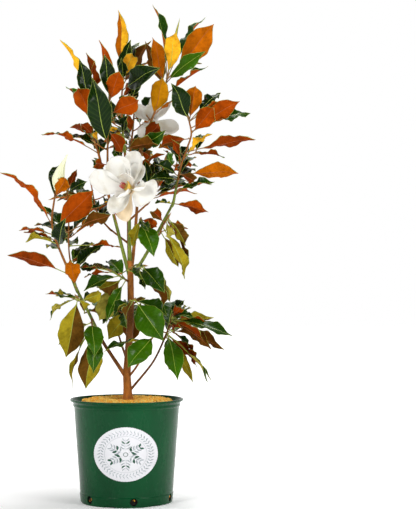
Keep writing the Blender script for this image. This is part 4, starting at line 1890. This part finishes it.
class MAGNOLIA_OT_twigs(MagnoliaOperator, bpy.types.Operator):
    """Grow the twigs of each mass: its stem, the stalks of its leaves and the buds in their axils"""

    bl_idname = "magnolia.twigs"
    bl_label = "Twigs"

    def execute(self, context):
        _, stems, flowers, _, leaves, shoots = crown()
        skin = Skin()
        for number, (name, (axis, radii)) in enumerate(stems.items()):
            back = 0.0 if "@" in MASSES[name][0] else SUNK
            add_limb(skin, name, axis, radii, STEM_SEED + number, STEM_SIDES, back)
            if name != BUD_STEM:
                add_shoot_bud(skin, axis, radii)
            for leaf, tones in leaves[name]:
                path, widths = leaf_stalk(leaf)
                skin.add(*tube(path, widths, 8), 2 if tones[1] in "OP" or leaf[1].z < WARM_HEIGHT else 3)
                add_axil_bud(skin, leaf, radii[-1])
            for path, widths in shoots.get(name, ()):
                add_limb(skin, name, path, widths, TWIG_SEED + number, TWIG_SIDES)
                add_shoot_bud(skin, path, widths)
        for number, (name, (axis, _, _)) in enumerate(flowers.items()):
            stalk = taper(axis, *FLOWER_STALK)
            add_limb(skin, "spur_flower", axis, stalk, STALK_SEED + number, STEM_SIDES, SUNK)
        skin.build("twigs", bark_finishes()[:2] + plain_grains(
            ("stalk_green", tint(150, 160, 60), 0.5, 150, 0.25),
            ("stalk_warm", tint(134, 96, 48), 0.55, 150, 0.3),
            ("shoot_bud", tint(150, 112, 56), 0.75, 260, 0.35)))
        return {"FINISHED"}


class MAGNOLIA_OT_leaves(MagnoliaOperator, bpy.types.Operator):
    """Hang every leaf: glossy above and felted below, with midrib, rim and wavy edge"""

    bl_idname = "magnolia.leaves"
    bl_label = "Leaves"

    def execute(self, context):
        leaves = crown()[4]
        settings = context.scene.magnolia_leaves
        for number, (name, found) in enumerate(leaves.items()):
            rng = random.Random(LEAF_SEED + number)
            skin = Skin()
            for leaf, tones in found:
                add_leaf(skin, leaf, tones, settings, rng)
            piece = "foliage_" + name.removeprefix("leaves_")
            skin.build(piece, foliage_finishes(), [name], mapped=True)
        return {"FINISHED"}


class MAGNOLIA_OT_flowers(MagnoliaOperator, bpy.types.Operator):
    """Open the flowers: cupped white tepals round a cone of curled styles and its stamens"""

    bl_idname = "magnolia.flowers"
    bl_label = "Flowers"

    def execute(self, context):
        settings = context.scene.magnolia_flowers
        petal, stained = tuple(settings.petal_colour), tuple(settings.stained_colour)
        shadow = tuple(value * share for value, share in zip(petal, (0.84, 0.81, 0.74)))
        finishes = [petal_finish("tepal_white", petal, shadow),
                    petal_finish("tepal_foot", stained, shaded(stained, 0.88)),
                    *plain_grains(("cone_green", tint(206, 190, 96), 0.6, 220, 0.25),
                                  ("style_red", tint(196, 62, 70), 0.6, 220, 0.3),
                                  ("stamen_yellow", tint(240, 196, 84), 0.6, 220, 0.25))]
        for number, (name, (axis, cone, _)) in enumerate(crown()[2].items()):
            rng = random.Random(FLOWER_SEED + number)
            skin = Skin()
            for row in TEPALS_SHOWN[name]:
                add_tepal(skin, axis[-1], row, settings, rng)
            if name == "flower_open":
                add_heart(skin, np.array(axis[-1]), CONE_SHOWN, rng)
            else:
                skin.add(*tube([axis[-1], axis[-1] + Vector(cone) * 0.008], [0.005, 0.004], 12), 2)
            skin.build("blossom_" + name.removeprefix("flower_"), finishes, [name])
        return {"FINISHED"}


class MAGNOLIA_OT_bud(MagnoliaOperator, bpy.types.Operator):
    """Close the pale pointed bud at the end of the outer left shoot"""

    bl_idname = "magnolia.bud"
    bl_label = "Bud"

    def execute(self, context):
        skin = Skin()
        add_bud(skin, crown()[3])
        pale = tint(238, 240, 200)
        skin.build("closed_bud", [petal_finish("bud_skin", pale, shaded(pale, 0.88))], ["bud"])
        return {"FINISHED"}


STEPS = ("stage", "pot", "label", "mulch", "bark", "twigs", "leaves", "flowers", "bud")


class MAGNOLIA_PT_panel(bpy.types.Panel):
    """The plant's pieces, and the sizes and colours that they take"""

    bl_idname = "MAGNOLIA_PT_panel"
    bl_label = "Potted Magnolia"
    bl_space_type = "VIEW_3D"
    bl_region_type = "UI"
    bl_category = "Magnolia"

    def draw(self, context):
        for step in STEPS:
            self.layout.operator(f"magnolia.{step}")
        for group in SETTINGS:
            settings = getattr(context.scene, group)
            box = self.layout.box()
            for name in settings.bl_rna.properties.keys():
                if name not in ("rna_type", "name"):
                    box.prop(settings, name)


SETTINGS = {
    "magnolia_pot": MagnoliaPotSettings,
    "magnolia_wood": MagnoliaWoodSettings,
    "magnolia_leaves": MagnoliaLeafSettings,
    "magnolia_flowers": MagnoliaFlowerSettings,
    "magnolia_stage": MagnoliaStageSettings,
}
CLASSES = (
    *SETTINGS.values(),
    MAGNOLIA_OT_stage, MAGNOLIA_OT_pot, MAGNOLIA_OT_label, MAGNOLIA_OT_mulch, MAGNOLIA_OT_bark,
    MAGNOLIA_OT_twigs, MAGNOLIA_OT_leaves, MAGNOLIA_OT_flowers, MAGNOLIA_OT_bud, MAGNOLIA_PT_panel,
)


def register():
    for cls in CLASSES:
        bpy.utils.register_class(cls)
    for name, group in SETTINGS.items():
        setattr(bpy.types.Scene, name, PointerProperty(type=group))


def unregister():
    for name in SETTINGS:
        delattr(bpy.types.Scene, name)
    for cls in reversed(CLASSES):
        bpy.utils.unregister_class(cls)


def main():
    register()
    for step in STEPS:
        getattr(bpy.ops.magnolia, step)()


if __name__ == "__main__":
    main()
